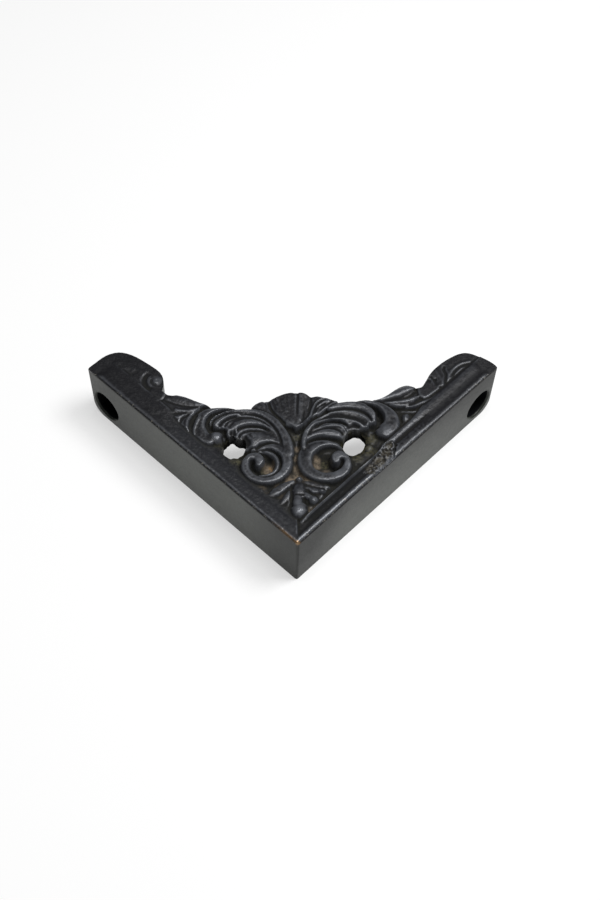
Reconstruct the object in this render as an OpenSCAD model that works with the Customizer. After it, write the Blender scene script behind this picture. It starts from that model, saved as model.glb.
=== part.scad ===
// Cast corner bracket: two plain outer walls that meet at a right angle, a thin carved
// panel across the top of them, and a solid rounded ear with a cross hole at the end of
// each wall. Seen from behind it is hollow, and the hollow is open along the carved edge.
// It lies on its back: +Z points out of the carved face and the corner points along -Y.

/* [Bracket] */
// Length of each outer face, from the corner to the tip of its ear
leg_length = 100; // [85:1:130]
// Height of the outer faces, from the back to the arris
face_height = 23; // [19:0.5:30]
// Thickness of the two outer walls
wall = 5; // [4:0.25:6]
// Thickness of the panel behind the carving
panel = 3.5; // [2.5:0.25:5]
// Radius of the upright edge where the two outer faces meet
corner_r = 0.8; // [0.3:0.1:2]
// Length of the solid ear at the end of each wall
ear_length = 26; // [22:0.5:30]
// Radius of the ear's lower edge at its tip
ear_round = 5; // [2:0.5:7]

/* [Cross holes] */
// Diameter of the hole through each ear
bore_d = 11.5; // [6:0.25:12]
// Distance of the hole's axis from the tip of the ear
bore_from_tip = 7.2; // [7.2:0.1:10]
// Height of the hole's axis above the back
bore_height = 7.8; // [7.4:0.1:10]

/* [Moulding] */
// Width of the rounded arris along the outer edge
arris_w = 2; // [1.4:0.1:2.6]
// Depth of the hollow between the arris and the bead
cavetto = 0.6; // [0.3:0.1:1.2]
// Distance of the bead's centre line from the outer face
bead_in = 4.9; // [4.6:0.1:5.6]
// Radius of the bead
bead_r = 0.8; // [0.5:0.05:1]
// Width of the plain band on top of each ear
ear_band = 7.4; // [6.6:0.1:8.4]

/* [Carving] */
// How far the ground of the carving lies below the arris
ground_drop = 3; // [2:0.1:4]
// Relief of the carving, where 1 is the height it was modelled at
relief = 1; // [0.6:0.05:1]

/* [Hidden] */
$fn = 48;

// The outline and the carving are drawn for legs of 100 mm and follow the real length.
k = leg_length / 100;
half_span = leg_length / sqrt(2);
ground_z = face_height - ground_drop;
floor_z = ground_z - 0.6;          // the bed that the carved sheet sits in
panel_back = ground_z - panel;
band_z = face_height - cavetto;
field_in = bead_in + bead_r + 0.3; // distance of the carved field from the outer faces
rise = ground_drop / 3;            // strokes follow the depth of the ground

// ---------------------------------------------------------------- curves

// A smooth curve through the points p, with n steps between neighbours.
function through(p, n = 3) = [
    for (i = [0 : len(p) - 2]) let (
        a = p[max(i - 1, 0)], b = p[i], c = p[i + 1], d = p[min(i + 2, len(p) - 1)]
    ) for (j = [0 : n - 1]) let (t = j / n)
        b + t / 2 * (c - a)
          + t * t / 2 * (2 * a - 5 * b + 4 * c - d)
          + t * t * t / 2 * (3 * b - a - 3 * c + d),
    p[len(p) - 1]
];

// Points of an arc about c, from angle a to angle b.
function arc(c, r, a, b, n = 6) =
    [for (i = [0 : n]) let (t = a + (b - a) * i / n) c + r * [cos(t), sin(t)]];

// Value at t, from 0 to 1, of a list of values spaced evenly along a stroke.
function along(v, t) = let (s = t * (len(v) - 1), i = min(floor(s), len(v) - 2))
    v[i] + (v[i + 1] - v[i]) * (s - i);

// ---------------------------------------------------------------- outline

// The free edge, drawn from the right ear's tip across to the left ear's tip.
ear_edge_right = [[70.4, 71.4], [68.4, 73.5], [64, 76.3], [60.4, 77.5], [56.6, 76.4],
                  [51.5, 72.9], [47.6, 68.8], [45.4, 65], [43.9, 62.5], [42.4, 62]];
leaf_edge_right = [[42.4, 62], [40.4, 62.9], [38.6, 63.4], [35.8, 62.4], [32, 59],
                   [28, 57], [22, 56.5], [16, 56.1]];
shell_edge = [[16, 56.1], [14.2, 57.2], [11, 58.4], [8.2, 58.9], [5.8, 58.5],
              [4.2, 59.5], [2.2, 60], [0.2, 59.6], [-1.2, 59.9], [-4, 59.2],
              [-8, 57.4], [-12, 56], [-15, 53.8]];
leaf_edge_left = [[-15, 53.8], [-20, 53.7], [-26, 54.2], [-32, 56], [-37, 58.6],
                  [-39.4, 59.5], [-41.4, 59.2], [-43.4, 59.7], [-44.9, 61]];
ear_edge_left = [[-44.9, 61], [-44.6, 65], [-46, 69], [-51, 73.4], [-56.2, 76.9],
                 [-60.8, 78.1], [-65, 76.7], [-68.4, 73.5], [-70.4, 71.4]];
free_edge = concat(
    through(ear_edge_right, 2), through(leaf_edge_right, 2), through(shell_edge, 2),
    through(leaf_edge_left, 2), through(ear_edge_left, 2)
);
top_y = k * max([for (p = free_edge) p.y]);
corner_y = corner_r * (sqrt(2) - 1);
mid_y = (top_y + corner_y) / 2; // the part is centred on its own box

module outline() {
    polygon(concat(
        arc([0, corner_r * sqrt(2)], corner_r, 225, 315, 4),
        [[half_span, half_span]],
        [for (p = free_edge) k * p],
        [[-half_span, half_span]]
    ));
}

// Where the carving lies: everything inside the mouldings, and on past the free edge.
module inside_mouldings(let_in) {
    near = field_in - let_in;
    wide = ear_band - let_in;
    step = leg_length - ear_length + let_in;
    far = leg_length + 20;
    rotate(45) polygon([[near, near], [step, near], [step, wide], [far, wide],
                        [far, far], [wide, far], [wide, step], [near, step]]);
}

// The carved sheet is a hair smaller than its bed along the free edge, and is let into
// the foot of the moulding elsewhere.
module sheet_outline(inset) {
    intersection() {
        offset(delta = -inset) outline();
        inside_mouldings(0.25);
    }
}

right_gap = [[15.8, 38.4], [16.4, 42.4], [19.8, 45.2], [23.2, 43.4], [22.9, 39], [20.6, 36.6], [18.4, 36.1], [16.8, 36.8]];
left_gap = [[-24.4, 37.2], [-23.4, 40.8], [-21, 42.7], [-18.6, 41.2], [-16.4, 40.6], [-16.4, 37.4], [-18.8, 35.4], [-21.2, 34], [-23.4, 35]];

module piercings(grow = 0) {
    offset(delta = grow) scale(k) polygon(right_gap);
    offset(delta = grow) scale(k) polygon(left_gap);
}

// ---------------------------------------------------------------- strokes

// One stroke of carving: a rounded ridge along the curve c, with widths w and heights h
// given at even steps from its start to its tip. Both ends are rounded off. It stands on
// the ground and is rooted a little way into it.
module stroke(c, w, h, sides = 4) {
    n = len(c) - 1;
    m = sides + 1;
    d0 = c[0] - c[1];
    d1 = c[n] - c[n - 1];
    path = concat([c[0] + 0.3 * w[0] * d0 / norm(d0)], c, [c[n] + 0.3 * w[len(w) - 1] * d1 / norm(d1)]);
    last = n + 2;
    rings = [
        for (i = [0 : last]) let (
            end = i == 0 || i == last,
            s = min(max(i - 1, 0), n) / n,
            t = path[min(i + 1, last)] - path[max(i - 1, 0)],
            across = [-t.y, t.x] / norm(t),
            half = along(w, s) / 2 * (end ? 0.55 : 1),
            high = min(along(h, s) * relief * rise, ground_drop) * (end ? 0.55 : 1)
        ) for (j = [0 : sides]) let (a = 180 * j / sides, p = k * path[i] + half * cos(a) * across)
            [p.x, p.y, j == 0 || j == sides ? -0.4 : high * sin(a)]
    ];
    polyhedron(
        points = rings,
        faces = concat(
            [[for (j = [0 : sides]) j]],
            [for (i = [0 : last - 1]) for (j = [0 : sides]) let (b = i * m + j, e = i * m + (j + 1) % m)
                each [[b, e + m, e], [b, b + m, e + m]]],
            [[for (j = [0 : sides]) last * m + sides - j]]
        ),
        convexity = 6
    );
}

// A round boss of carving, like a drop of wax.
module boss(c, r, h, steps = 3, turns = 12) {
    rings = [
        for (i = [0 : steps - 1]) for (j = [0 : turns - 1]) let (
            a = 90 * i / steps, b = 360 * j / turns, high = min(h * relief * rise, ground_drop)
        ) [k * c.x + r * cos(a) * cos(b), k * c.y + r * cos(a) * sin(b),
           i == 0 ? -0.4 : high * sin(a)]
    ];
    top = len(rings);
    polyhedron(
        points = concat(rings, [[k * c.x, k * c.y, min(h * relief * rise, ground_drop)]]),
        faces = concat(
            [[for (j = [0 : turns - 1]) j]],
            [for (i = [0 : steps - 2]) for (j = [0 : turns - 1]) let (
                e = (j + 1) % turns, b = i * turns
            ) each [[b + j, b + turns + j, b + turns + e], [b + j, b + turns + e, b + e]]],
            [for (j = [0 : turns - 1]) let (b = (steps - 1) * turns) [b + j, top, b + (j + 1) % turns]]
        ),
        convexity = 4
    );
}

// ---------------------------------------------------------------- carving

module volute_right() {
    stroke(through([[14, 39.2], [9, 39.9], [5.2, 38.2], [3.2, 35], [3, 31], [5, 27.6], [8.6, 25.6],
                    [12.4, 25.7], [15.6, 27.9], [16.8, 31], [16, 33.8]]),
           [2, 3, 3.8, 4, 4, 4, 4, 3.8, 3.4, 3.2, 3], [1.8, 2.6, 2.9, 3, 3, 3, 3, 3, 3, 2.9, 2.6], 5);
    stroke(through([[11, 36.4], [8, 35.8], [6.4, 33.4], [6.6, 30.6], [8.4, 28.6], [11, 28.2]], 2),
           [1, 1.8, 2, 2, 1.8, 1], [0.8, 1.3, 1.4, 1.4, 1.3, 0.8], 3);
    stroke(through([[16.2, 31.4], [15.6, 33.2], [14.2, 34.4], [12.8, 34.6]], 2), [2.4, 3, 3.4, 2.6], [2.4, 2.8, 2.8, 2.2], 5);
    boss([13.5, 33.4], 2.5, 3);
}

module volute_left() {
    stroke(through([[-14, 37.4], [-11, 37.9], [-7, 37.4], [-3.8, 35], [-2.9, 31], [-4.4, 27.4],
                    [-7.4, 24.9], [-11, 24.2], [-14.6, 25.4], [-16.9, 28.6], [-16.5, 32], [-14.2, 34.3], [-11.6, 34.2]]),
           [1.6, 2.6, 3.4, 4.2, 4.2, 4, 3.8, 3.4, 3.2, 3, 2.8, 2.2, 1.4], [1.6, 2.2, 2.8, 3, 3, 3, 3, 3, 3, 2.9, 2.7, 2.2, 1.6], 5);
    stroke(through([[-8, 34.6], [-6.2, 32.2], [-6.4, 29], [-9, 26.8], [-12, 27]], 2),
           [1, 1.5, 1.6, 1.5, 1], [1, 1.6, 1.7, 1.6, 1], 3);
    boss([-12.1, 31.6], 2.4, 2.9);
}

module leaves_right() {
    stroke(through([[2.6, 36.4], [2.7, 40.4], [4.2, 44], [7.4, 47.7], [11.4, 51.2]], 2),
           [2.4, 2.7, 2.4, 2.2, 1.5], [2.6, 2.6, 2.4, 2.3, 2]);
    stroke(through([[3, 40.6], [6, 42.4], [10, 43.2], [13.4, 42.8], [15.6, 41.2]], 2),
           [2, 3.4, 3.9, 3.4, 2], [1.6, 2.2, 2.4, 2.2, 1.4]);
    stroke(through([[4.8, 43], [7.4, 44.9], [10.6, 46], [13.8, 45.8], [16.2, 44], [16.9, 42.2]], 2),
           [1.2, 2.4, 2.9, 2.9, 2.4, 1.5], [1.8, 2.5, 2.7, 2.7, 2.5, 1.8]);
    stroke(through([[3.4, 43.2], [6, 46.2], [9.4, 48.2], [13.6, 49], [18, 48.4], [21, 46.8], [22.8, 44.8]], 2),
           [1.2, 2.4, 2.9, 3.2, 3.2, 2.9, 1.7], [2, 2.8, 3, 3, 3, 2.9, 2]);
    stroke(through([[7.4, 48.4], [10.6, 50.4], [15, 51.2], [19.6, 50.4], [23, 48.2], [24.4, 45.6]], 2),
           [1.5, 2.4, 2.9, 2.9, 2.7, 1.5], [1.8, 2.3, 2.5, 2.5, 2.4, 1.8]);
    stroke(through([[9, 50.6], [12.4, 52.4], [17, 52.9], [21.4, 51.8], [24.8, 49.2], [26, 46.2]], 2),
           [1.2, 2.1, 2.4, 2.4, 2.2, 1.2], [1.8, 2.4, 2.6, 2.6, 2.4, 1.8]);
    stroke(through([[11, 52.6], [15, 54.5], [19.4, 54.9], [23.6, 53.5], [26.8, 50.6], [27.7, 47.4]], 2),
           [1.7, 3.4, 3.7, 3.7, 3.4, 2], [2, 2.7, 2.8, 2.8, 2.6, 2]);
    stroke(through([[21, 56], [25.6, 55.7], [29.8, 53.9], [32.2, 50.4], [32.5, 46.8], [31, 43.8], [28.6, 43]], 2),
           [1.2, 2.7, 4.6, 5.6, 5.9, 5.6, 3.7], [1.8, 2.4, 2.8, 3, 3, 2.9, 2.2], 5);
    boss([24, 37.2], 1.3, 1.2, 2, 8);
}

module leaves_left() {
    stroke(through([[-2.6, 36], [-2.9, 40.4], [-4.5, 44.2], [-7.4, 48], [-11, 51.2]], 2),
           [3.8, 3.8, 3.4, 2.6, 1.7], [2.7, 2.7, 2.6, 2.4, 2]);
    stroke(through([[-4.2, 40.2], [-7, 41.6], [-11, 42.4], [-14.2, 41.8], [-15.9, 39.8]], 2),
           [2.2, 4.3, 5, 4.8, 2.6], [1.8, 2.5, 2.8, 2.8, 1.8], 5);
    stroke(through([[-5.6, 43.6], [-9, 45.9], [-13.4, 46.8], [-17.6, 46.1], [-20.2, 44.2], [-21.4, 42]], 2),
           [1.7, 2.4, 2.9, 3.4, 3.4, 1.9], [2, 2.7, 2.9, 2.9, 2.7, 1.8]);
    stroke(through([[-5.2, 45.8], [-8.6, 48.2], [-13, 49.1], [-17.4, 48.8], [-21, 47.2], [-23, 44.4]], 2),
           [1.4, 2.2, 2.4, 2.4, 2.2, 1.4], [2, 2.6, 2.7, 2.6, 2.3, 1.8]);
    stroke(through([[-6.2, 48.2], [-10, 50.4], [-14.4, 51.2], [-18.8, 50.8], [-23, 48.9], [-26.6, 45.6]], 2),
           [1.2, 1.9, 2.3, 2.4, 3.4, 1.7], [2, 2.5, 2.7, 2.7, 2.8, 2]);
    stroke(through([[-17, 52.5], [-21.6, 52], [-25.4, 50.8], [-27.8, 48.4], [-28, 45.6]], 2),
           [1, 1.4, 1.8, 1.8, 1.2], [2, 2.4, 2.5, 2.4, 1.8], 3);
    stroke(through([[-10, 54], [-16, 53], [-22, 53.3], [-27, 53], [-30.2, 50.6], [-31.3, 47], [-30.4, 43.6], [-28.2, 41.6]], 2),
           [1.2, 1.9, 2.2, 3.1, 4.1, 4.6, 4.8, 4.6], [1.6, 2.2, 2.4, 2.6, 2.8, 2.8, 2.8, 2.4], 5);
    boss([-26.4, 42.2], 2.6, 3);
}

module branch_right() {
    stroke(through([[27, 57], [31, 57.3], [35, 59.8], [38.6, 62.2]], 2), [1.1, 2.5, 3.9, 3], [1.6, 2.2, 2.6, 2]);
    stroke(through([[30.4, 55.8], [34, 56.4], [37.8, 58.6], [40.8, 61.4]], 2), [0.9, 2.5, 3.2, 1.8], [1.8, 2.5, 2.7, 2]);
    stroke(through([[33.6, 54.6], [37.4, 54.7], [40.8, 56.4], [43.2, 58.8]], 2), [0.9, 2.1, 2.5, 1.6], [1.6, 2.3, 2.3, 1.6]);
    stroke(through([[38.6, 52.6], [42, 53.4], [45.6, 56.2], [48.4, 60]], 2), [1.1, 2.5, 2.8, 1.8], [1.4, 2, 2, 1.6]);
    boss([37.2, 49.9], 1.6, 2, 3, 10);
    stroke([[36.4, 46.6], [38.8, 48.8], [41.6, 51.6]], [0.8, 1.2, 0.8], [1, 1.4, 1], 3);
}

module branch_left() {
    stroke(through([[-30, 54.9], [-34.4, 56], [-38.4, 57.4], [-42.6, 57.6]], 2), [1.6, 3, 3.9, 3], [1.8, 2.3, 2.5, 2]);
    stroke(through([[-30.4, 53.2], [-34, 52.8], [-38.4, 53.6], [-42.6, 55]], 2), [1.1, 1.8, 2.5, 2.5], [2, 2.4, 2, 1.4]);
    stroke(through([[-32.6, 51], [-34.4, 48.4], [-34.2, 43.2]], 3), [1.1, 1.7, 1.5], [1.8, 2.2, 1.6], 3);
    stroke(through([[-37.6, 51.2], [-36.8, 48.4], [-36.8, 46]], 2), [1.1, 1.8, 1.1], [1.2, 1.8, 1.2], 3);
    stroke(through([[-39, 50.4], [-42.4, 52.6], [-46, 56.4]], 2), [1.6, 3.4, 1.8], [1, 1.6, 1], 4);
}

module ear_right() {
    stroke(through([[48.6, 61.8], [50.4, 64.8], [49.2, 68.4]], 3), [2, 4, 3], [1.6, 2.2, 1.6]);
    stroke(through([[50.8, 63], [52.2, 67], [53.4, 71.2], [56.4, 74.6]], 2), [1.4, 3, 3.4, 2.6], [1.8, 2.4, 2.5, 1.8]);
    stroke(through([[53.2, 65.4], [55.6, 69.2], [58.4, 72.2], [61.6, 72.6]], 2), [1.2, 2.4, 2.8, 1.4], [1.8, 2.7, 2.9, 2]);
    stroke(through([[58, 75.6], [62, 75.4], [66.4, 73.2]], 2), [2, 2.6, 1.6], [1.8, 2.3, 1.6]);
}

module ear_left() {
    stroke(through([[-49.6, 69.4], [-51, 67], [-50, 63.6], [-47.6, 62.4]], 2), [1.6, 2.4, 2.2, 1.4], [1.8, 2.4, 2.4, 1.8]);
    boss([-47.5, 65.5], 2.8, 2.4);
    stroke(through([[-51.4, 65.4], [-54.2, 69.6], [-57.4, 73.6]], 2), [2, 4, 4], [1.6, 2.2, 2.1]);
    stroke(through([[-53.4, 64.8], [-57, 69.4], [-61.6, 74.2], [-65, 74.8]], 2), [1.4, 3.4, 4.2, 2], [1.6, 2.1, 2.2, 1.8]);
}

module shell() {
    stroke(through([[0.2, 45.8], [-1.9, 50], [-2.9, 55], [-3.1, 59.8]], 2), [2, 5.4, 7.6, 8.2], [1.9, 2.4, 2.6, 2.5], 5);
    stroke(through([[1, 45.8], [2.7, 50], [3.6, 55], [3.8, 59.8]], 2), [1.4, 3.2, 4.6, 5], [2, 2.5, 2.7, 2.6], 5);
    stroke(through([[-0.6, 45.6], [-3.8, 48.2], [-5.8, 51.6], [-7.6, 57]], 2), [1, 1.6, 2.2, 3], [2, 2.6, 2.6, 2.4]);
    stroke(through([[-7, 50.6], [-9.4, 53], [-11.6, 55.6]], 2), [1.6, 4, 4.6], [1.9, 2.4, 2.3], 5);
    stroke(through([[0.4, 45.4], [3.6, 47.8], [5.4, 50.8], [6.3, 54], [7.8, 56.8], [10.6, 58]], 2),
           [1.2, 1.8, 2, 2, 1.8, 1.4], [2.2, 2.9, 3, 3, 2.9, 2.6]);
    stroke(through([[7.3, 51.6], [8.6, 54], [11.8, 57]], 2), [1.2, 2, 2.8], [1.8, 2.4, 2.5]);
    stroke(through([[8, 50.6], [10.8, 53.2], [14.6, 56]], 2), [1, 2, 2], [1.8, 2.5, 2.5]);
}

module bud() {
    stroke(through([[1.2, 22.4], [1, 19], [0.8, 15.6], [0.7, 12.6], [0.4, 9.8]], 2),
           [1.6, 4, 5.4, 6, 3.2], [1.6, 2.2, 2.7, 2.9, 2], 6);
    stroke([[0.7, 26.2], [0.8, 24.6], [1, 22]], [1.2, 1.7, 1.4], [1.4, 1.9, 1.6], 3);
    stroke(through([[-1.2, 23.8], [-4.6, 22.4], [-7.4, 20.6], [-9.4, 18.6]], 2), [1.2, 3, 3.4, 1.4], [1.4, 1.9, 2.2, 1.4]);
    stroke(through([[-1.4, 20.6], [-4, 18], [-5.6, 15]], 3), [1.4, 3, 1.4], [1.4, 2.1, 1.2]);
    stroke(through([[3, 23.6], [6.4, 22.9], [10.2, 21.2]], 2), [1.2, 2.2, 1], [1.3, 1.8, 1.2], 3);
    stroke(through([[2.6, 21.6], [5.6, 21], [8.6, 20.2]], 2), [1.2, 2, 2.4], [1.4, 1.7, 2.2]);
    stroke(through([[2.6, 19.8], [4.4, 18.2], [6.2, 16.6]], 2), [1.4, 3, 3], [1.4, 2.3, 2.1]);
    stroke(through([[-3.8, 12.4], [-2.4, 9.8], [0.4, 8.4], [3, 9.8], [4.4, 12.2]], 2), [0.8, 1, 1.2, 1, 0.8], [0.8, 1.2, 1.3, 1.2, 0.8], 3);
}

// A raised bed under a group of strokes, so that the cuts between them stay shallow.
module bed(p, h) {
    translate([0, 0, -0.4]) linear_extrude(0.4 + h * relief * rise) scale(k) polygon(through(p, 2));
}

module beds() {
    bed([[2.2, 38], [3.2, 42.4], [6.4, 46.8], [10.4, 51.2], [15, 55], [21, 56.6], [28, 56.4], [33.4, 52], [34.2, 46.4],
         [31.4, 42.6], [26.8, 43], [24.2, 46], [20, 46.4], [17, 43.6], [15.4, 40], [9, 40], [4.4, 37.4]], 1.7);
    bed([[-1.8, 38], [-2.6, 42.6], [-5.8, 47.4], [-9.6, 51.6], [-15, 53.6], [-23, 53.6], [-29.6, 52.6], [-32.6, 48], [-31.4, 42.6],
         [-27.4, 41], [-25, 44.2], [-21.4, 43.4], [-17, 40.6], [-14, 38], [-8, 39.4], [-4, 37]], 1.7);
    bed([[0.5, 45.4], [3.6, 47.8], [7, 50], [12, 54], [15.4, 56], [11, 58.4], [0, 60], [-8, 57.6], [-14.6, 54.2],
         [-9.4, 50.6], [-4.4, 47.4]], 1.8);
    bed([[27, 57.2], [32, 55.2], [38, 54], [42.6, 54.8], [46.6, 59.4], [43, 61.6], [38.6, 63.6], [33, 61]], 1.3);
    bed([[-30, 55.4], [-33, 52], [-38, 51.6], [-43.6, 55.6], [-45, 59.6], [-41, 60.4], [-36, 59]], 1.2);
    bed([[46.4, 58.4], [52, 62.4], [58, 68.4], [65.4, 75.6], [66, 80], [50, 80], [42, 72], [43.4, 61.4]], 2.1);
    bed([[-45.4, 58.4], [-52, 62.4], [-58, 68.4], [-65.4, 75.6], [-66, 80], [-50, 80], [-41, 72], [-43, 61]], 2.1);
}

// The carved sheet: the ground and every stroke on it, in one piece.
module carved_sheet() {
    difference() {
        translate([0, 0, -1]) linear_extrude(1) sheet_outline(0.1);
        translate([0, 0, -3]) linear_extrude(20) piercings(0.1);
    }
    intersection() {
        union() {
            beds();
            volute_right();
            volute_left();
            leaves_right();
            leaves_left();
            branch_right();
            branch_left();
            ear_right();
            ear_left();
            shell();
            bud();
        }
        translate([0, 0, -0.9]) linear_extrude(20) sheet_outline(0.15);
    }
}

// ---------------------------------------------------------------- bracket

// Section of the air over the arris and its hollow (x = distance from the outer face).
arris_r = arris_w / 2;
bead_z = face_height - bead_r - 0.1;
slope_z = (band_z + ground_z) / 2;
air_over_arris = concat(
    [[-1, face_height + 2], [-1, face_height - arris_r], [0, face_height - arris_r]],
    arc([arris_r, face_height - arris_r], arris_r, 155, 40, 5),
    [[arris_w + 0.5, band_z + 0.05], [arris_w + 1.2, band_z], [bead_in - bead_r - 0.1, band_z + 0.1]]
);
// The same section carried on over the bead, for the part of the leg before the ear.
air_over_bead = concat(
    air_over_arris,
    arc([bead_in, bead_z], bead_r, 140, 10, 4),
    [[field_in - 0.2, slope_z], [field_in + 0.1, ground_z - 0.2], [field_in + 0.1, face_height + 2]]
);
// And over the plain band, for the ear.
air_over_band = concat(
    air_over_arris,
    [[bead_in, band_z + 0.25], [ear_band - 0.7, band_z + 0.25], [ear_band - 0.2, slope_z],
     [ear_band + 0.1, ground_z - 0.2], [ear_band + 0.1, face_height + 2]]
);

module along_leg(from, to) {
    rotate(45) translate([from, 0, 0]) rotate([90, 0, 90]) linear_extrude(to - from) children();
}

module mouldings() {
    for (s = [0, 1]) mirror([s, 0, 0]) {
        intersection() {
            along_leg(-20, leg_length - ear_length) polygon(air_over_bead);
            translate([0, -50, 0]) cube([500, 500, 100]);
        }
        along_leg(leg_length - ear_length, leg_length + 5) polygon(air_over_band);
    }
}

module corner_casting() color([0.16, 0.17, 0.19]) translate([0, -mid_y, 0]) {
    difference() {
        linear_extrude(face_height) outline();
        translate([0, 0, floor_z]) linear_extrude(face_height) inside_mouldings(0);
        mouldings();
        // hollow back
        rotate(45) translate([wall, wall, -1])
            cube([leg_length - ear_length - wall, leg_length - ear_length - wall, panel_back + 1]);
        translate([0, 0, 1]) linear_extrude(face_height) piercings();
        for (s = [0, 1]) mirror([s, 0, 0]) rotate(45)
            translate([leg_length - bore_from_tip, -1, bore_height])
                rotate([-90, 0, 0]) cylinder(d = bore_d, h = 40);
        for (s = [0, 1]) mirror([s, 0, 0]) rotate(45)
            translate([leg_length - ear_round, 0, ear_round]) difference() {
                translate([0, -10, -ear_round - 10]) cube([ear_round + 20, 60, ear_round + 10]);
                translate([0, -20, 0]) rotate([-90, 0, 0]) cylinder(r = ear_round, h = 80);
            }
    }
    translate([0, 0, ground_z]) resize([0, 0, 0]) carved_sheet();
}

corner_casting();
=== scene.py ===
"""Cast corner bracket: plain outer faces, a carved and pierced panel, and a hollow back."""

import math

import bmesh
import bpy
import numpy as np
from bpy.props import FloatProperty, FloatVectorProperty, PointerProperty
from bpy.types import Operator, Panel, PropertyGroup
from mathutils import Matrix, Vector


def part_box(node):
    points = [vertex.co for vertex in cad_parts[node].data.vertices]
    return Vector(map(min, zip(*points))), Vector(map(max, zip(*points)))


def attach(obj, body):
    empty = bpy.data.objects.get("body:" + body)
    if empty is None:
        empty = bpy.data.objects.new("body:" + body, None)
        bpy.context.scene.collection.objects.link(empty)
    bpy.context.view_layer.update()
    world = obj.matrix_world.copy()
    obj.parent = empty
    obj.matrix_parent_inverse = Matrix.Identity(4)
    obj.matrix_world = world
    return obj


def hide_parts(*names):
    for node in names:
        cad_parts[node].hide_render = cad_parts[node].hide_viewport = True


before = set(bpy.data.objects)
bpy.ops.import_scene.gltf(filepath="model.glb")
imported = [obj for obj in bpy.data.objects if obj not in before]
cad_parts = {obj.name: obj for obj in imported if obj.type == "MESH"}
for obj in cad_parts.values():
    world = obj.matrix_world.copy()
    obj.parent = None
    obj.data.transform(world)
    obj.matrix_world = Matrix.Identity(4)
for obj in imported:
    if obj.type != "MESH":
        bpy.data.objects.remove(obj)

bl_info = {
    "name": "Cast Corner Bracket",
    "version": (1, 0, 0),
    "blender": (4, 5, 0),
    "location": "3D View > Sidebar > Bracket",
    "description": "Models a cast, black patinated corner bracket with a carved scroll panel",
    "category": "Add Mesh",
}

MM = 0.001
NODE = "corner_casting"
BOX_LOW, BOX_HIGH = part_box(NODE)

# Sizes of the blank that the settings below don't change, in mm.
LEG = round((BOX_HIGH.x - BOX_LOW.x) / MM / math.sqrt(2), 3)
CORNER_RADIUS = 0.8       # upright edge where the outer faces meet
FREE_EDGE_TOP = 78.1      # furthest point of the free edge from the corner
BORE_IN = 7.2             # axis of the cross hole, in from the ear's tip
BORE_UP = 7.8             # and above the back
EAR_ROUND = 5             # lower edge of the ear's tip
MID_Y = FREE_EDGE_TOP - BOX_HIGH.y / MM     # the part is centred on its own box


def srgb(hex_colour):
    """Turns an sRGB hex colour into the linear values that shaders take."""
    value = [int(hex_colour[i:i + 2], 16) / 255 for i in (1, 3, 5)]
    return tuple(c / 12.92 if c <= 0.04045 else ((c + 0.055) / 1.055) ** 2.4 for c in value)


# ---------------------------------------------------------------- settings

class BracketSizes(PropertyGroup):
    """Sizes of the casting that can change under the same drawing."""

    face_height: FloatProperty(
        name="Face height", description="Height of the outer faces, from the back to the arris",
        default=BOX_HIGH.z - BOX_LOW.z, unit="LENGTH", subtype="DISTANCE")
    wall: FloatProperty(
        name="Wall", description="Thickness of the two outer walls",
        default=5 * MM, unit="LENGTH", subtype="DISTANCE")
    panel: FloatProperty(
        name="Panel", description="Thickness of the panel behind the carving",
        default=3.5 * MM, unit="LENGTH", subtype="DISTANCE")
    ground_drop: FloatProperty(
        name="Depth of the carving", description="How far the ground lies below the arris",
        default=3 * MM, unit="LENGTH", subtype="DISTANCE")
    ear_length: FloatProperty(
        name="Ear length", description="Length of the solid ear at the end of each wall",
        default=26 * MM, unit="LENGTH", subtype="DISTANCE")
    bore: FloatProperty(
        name="Cross hole", description="Diameter of the hole through each ear",
        default=11.5 * MM, unit="LENGTH", subtype="DISTANCE")
    grid: FloatProperty(
        name="Carving grid", description="Spacing of the points that the carving is cut from",
        default=0.22 * MM, unit="LENGTH", subtype="DISTANCE")


class PatinaColours(PropertyGroup):
    """Colours of the patinated brass and of what lies in its hollows; some also serve as painted highlights
    and painted shade.
    """

    # Besides thick patina, this colour is painted shade: in the cuts, on the walls of the holes, in the
    # hollow back, under the right arris and toward the ends of the outer faces.
    patina_and_shade: FloatVectorProperty(
        name="Hollows", description="Patina where it lies thick, in the cuts",
        default=srgb("#0e0f11"), subtype="COLOR", size=3, min=0, max=1)
    body: FloatVectorProperty(
        name="Patina", description="Blue-black patina over most of the carving",
        default=srgb("#19191d"), subtype="COLOR", size=3, min=0, max=1)
    # This colour is also painted highlight: on the crests, on chosen high spots and along the right arris.
    polish_and_highlight: FloatVectorProperty(
        name="Rubbed crests", description="Patina polished thin on the ridges",
        default=srgb("#6d7076"), subtype="COLOR", size=3, min=0, max=1)
    faces: FloatVectorProperty(
        name="Plain faces", description="Grey-green patina on the filed outer faces",
        default=srgb("#3f443b"), subtype="COLOR", size=3, min=0, max=1)
    soil: FloatVectorProperty(
        name="Soil", description="Dry brown dirt and old wax in the ground of the carving",
        default=srgb("#6e6253"), subtype="COLOR", size=3, min=0, max=1)
    olive: FloatVectorProperty(
        name="Olive dirt", description="Olive dirt around the piercings and in the notches",
        default=srgb("#4a4733"), subtype="COLOR", size=3, min=0, max=1)
    brass: FloatVectorProperty(
        name="Bare brass", description="Brass where the patina is worn through",
        default=srgb("#a8855a"), subtype="COLOR", size=3, min=0, max=1)
    # Along the right arris this colour is also a painted highlight.
    chips_and_highlight: FloatVectorProperty(
        name="Chipped edges", description="Dull bruised metal along the arrises",
        default=srgb("#77746c"), subtype="COLOR", size=3, min=0, max=1)


# ---------------------------------------------------------------- drawing tools

# Every drawing below is in mm, with the corner of the outer faces at 0, 0, the legs
# running up to the left and right at 45 degrees, and z = 0 on the back.

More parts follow.
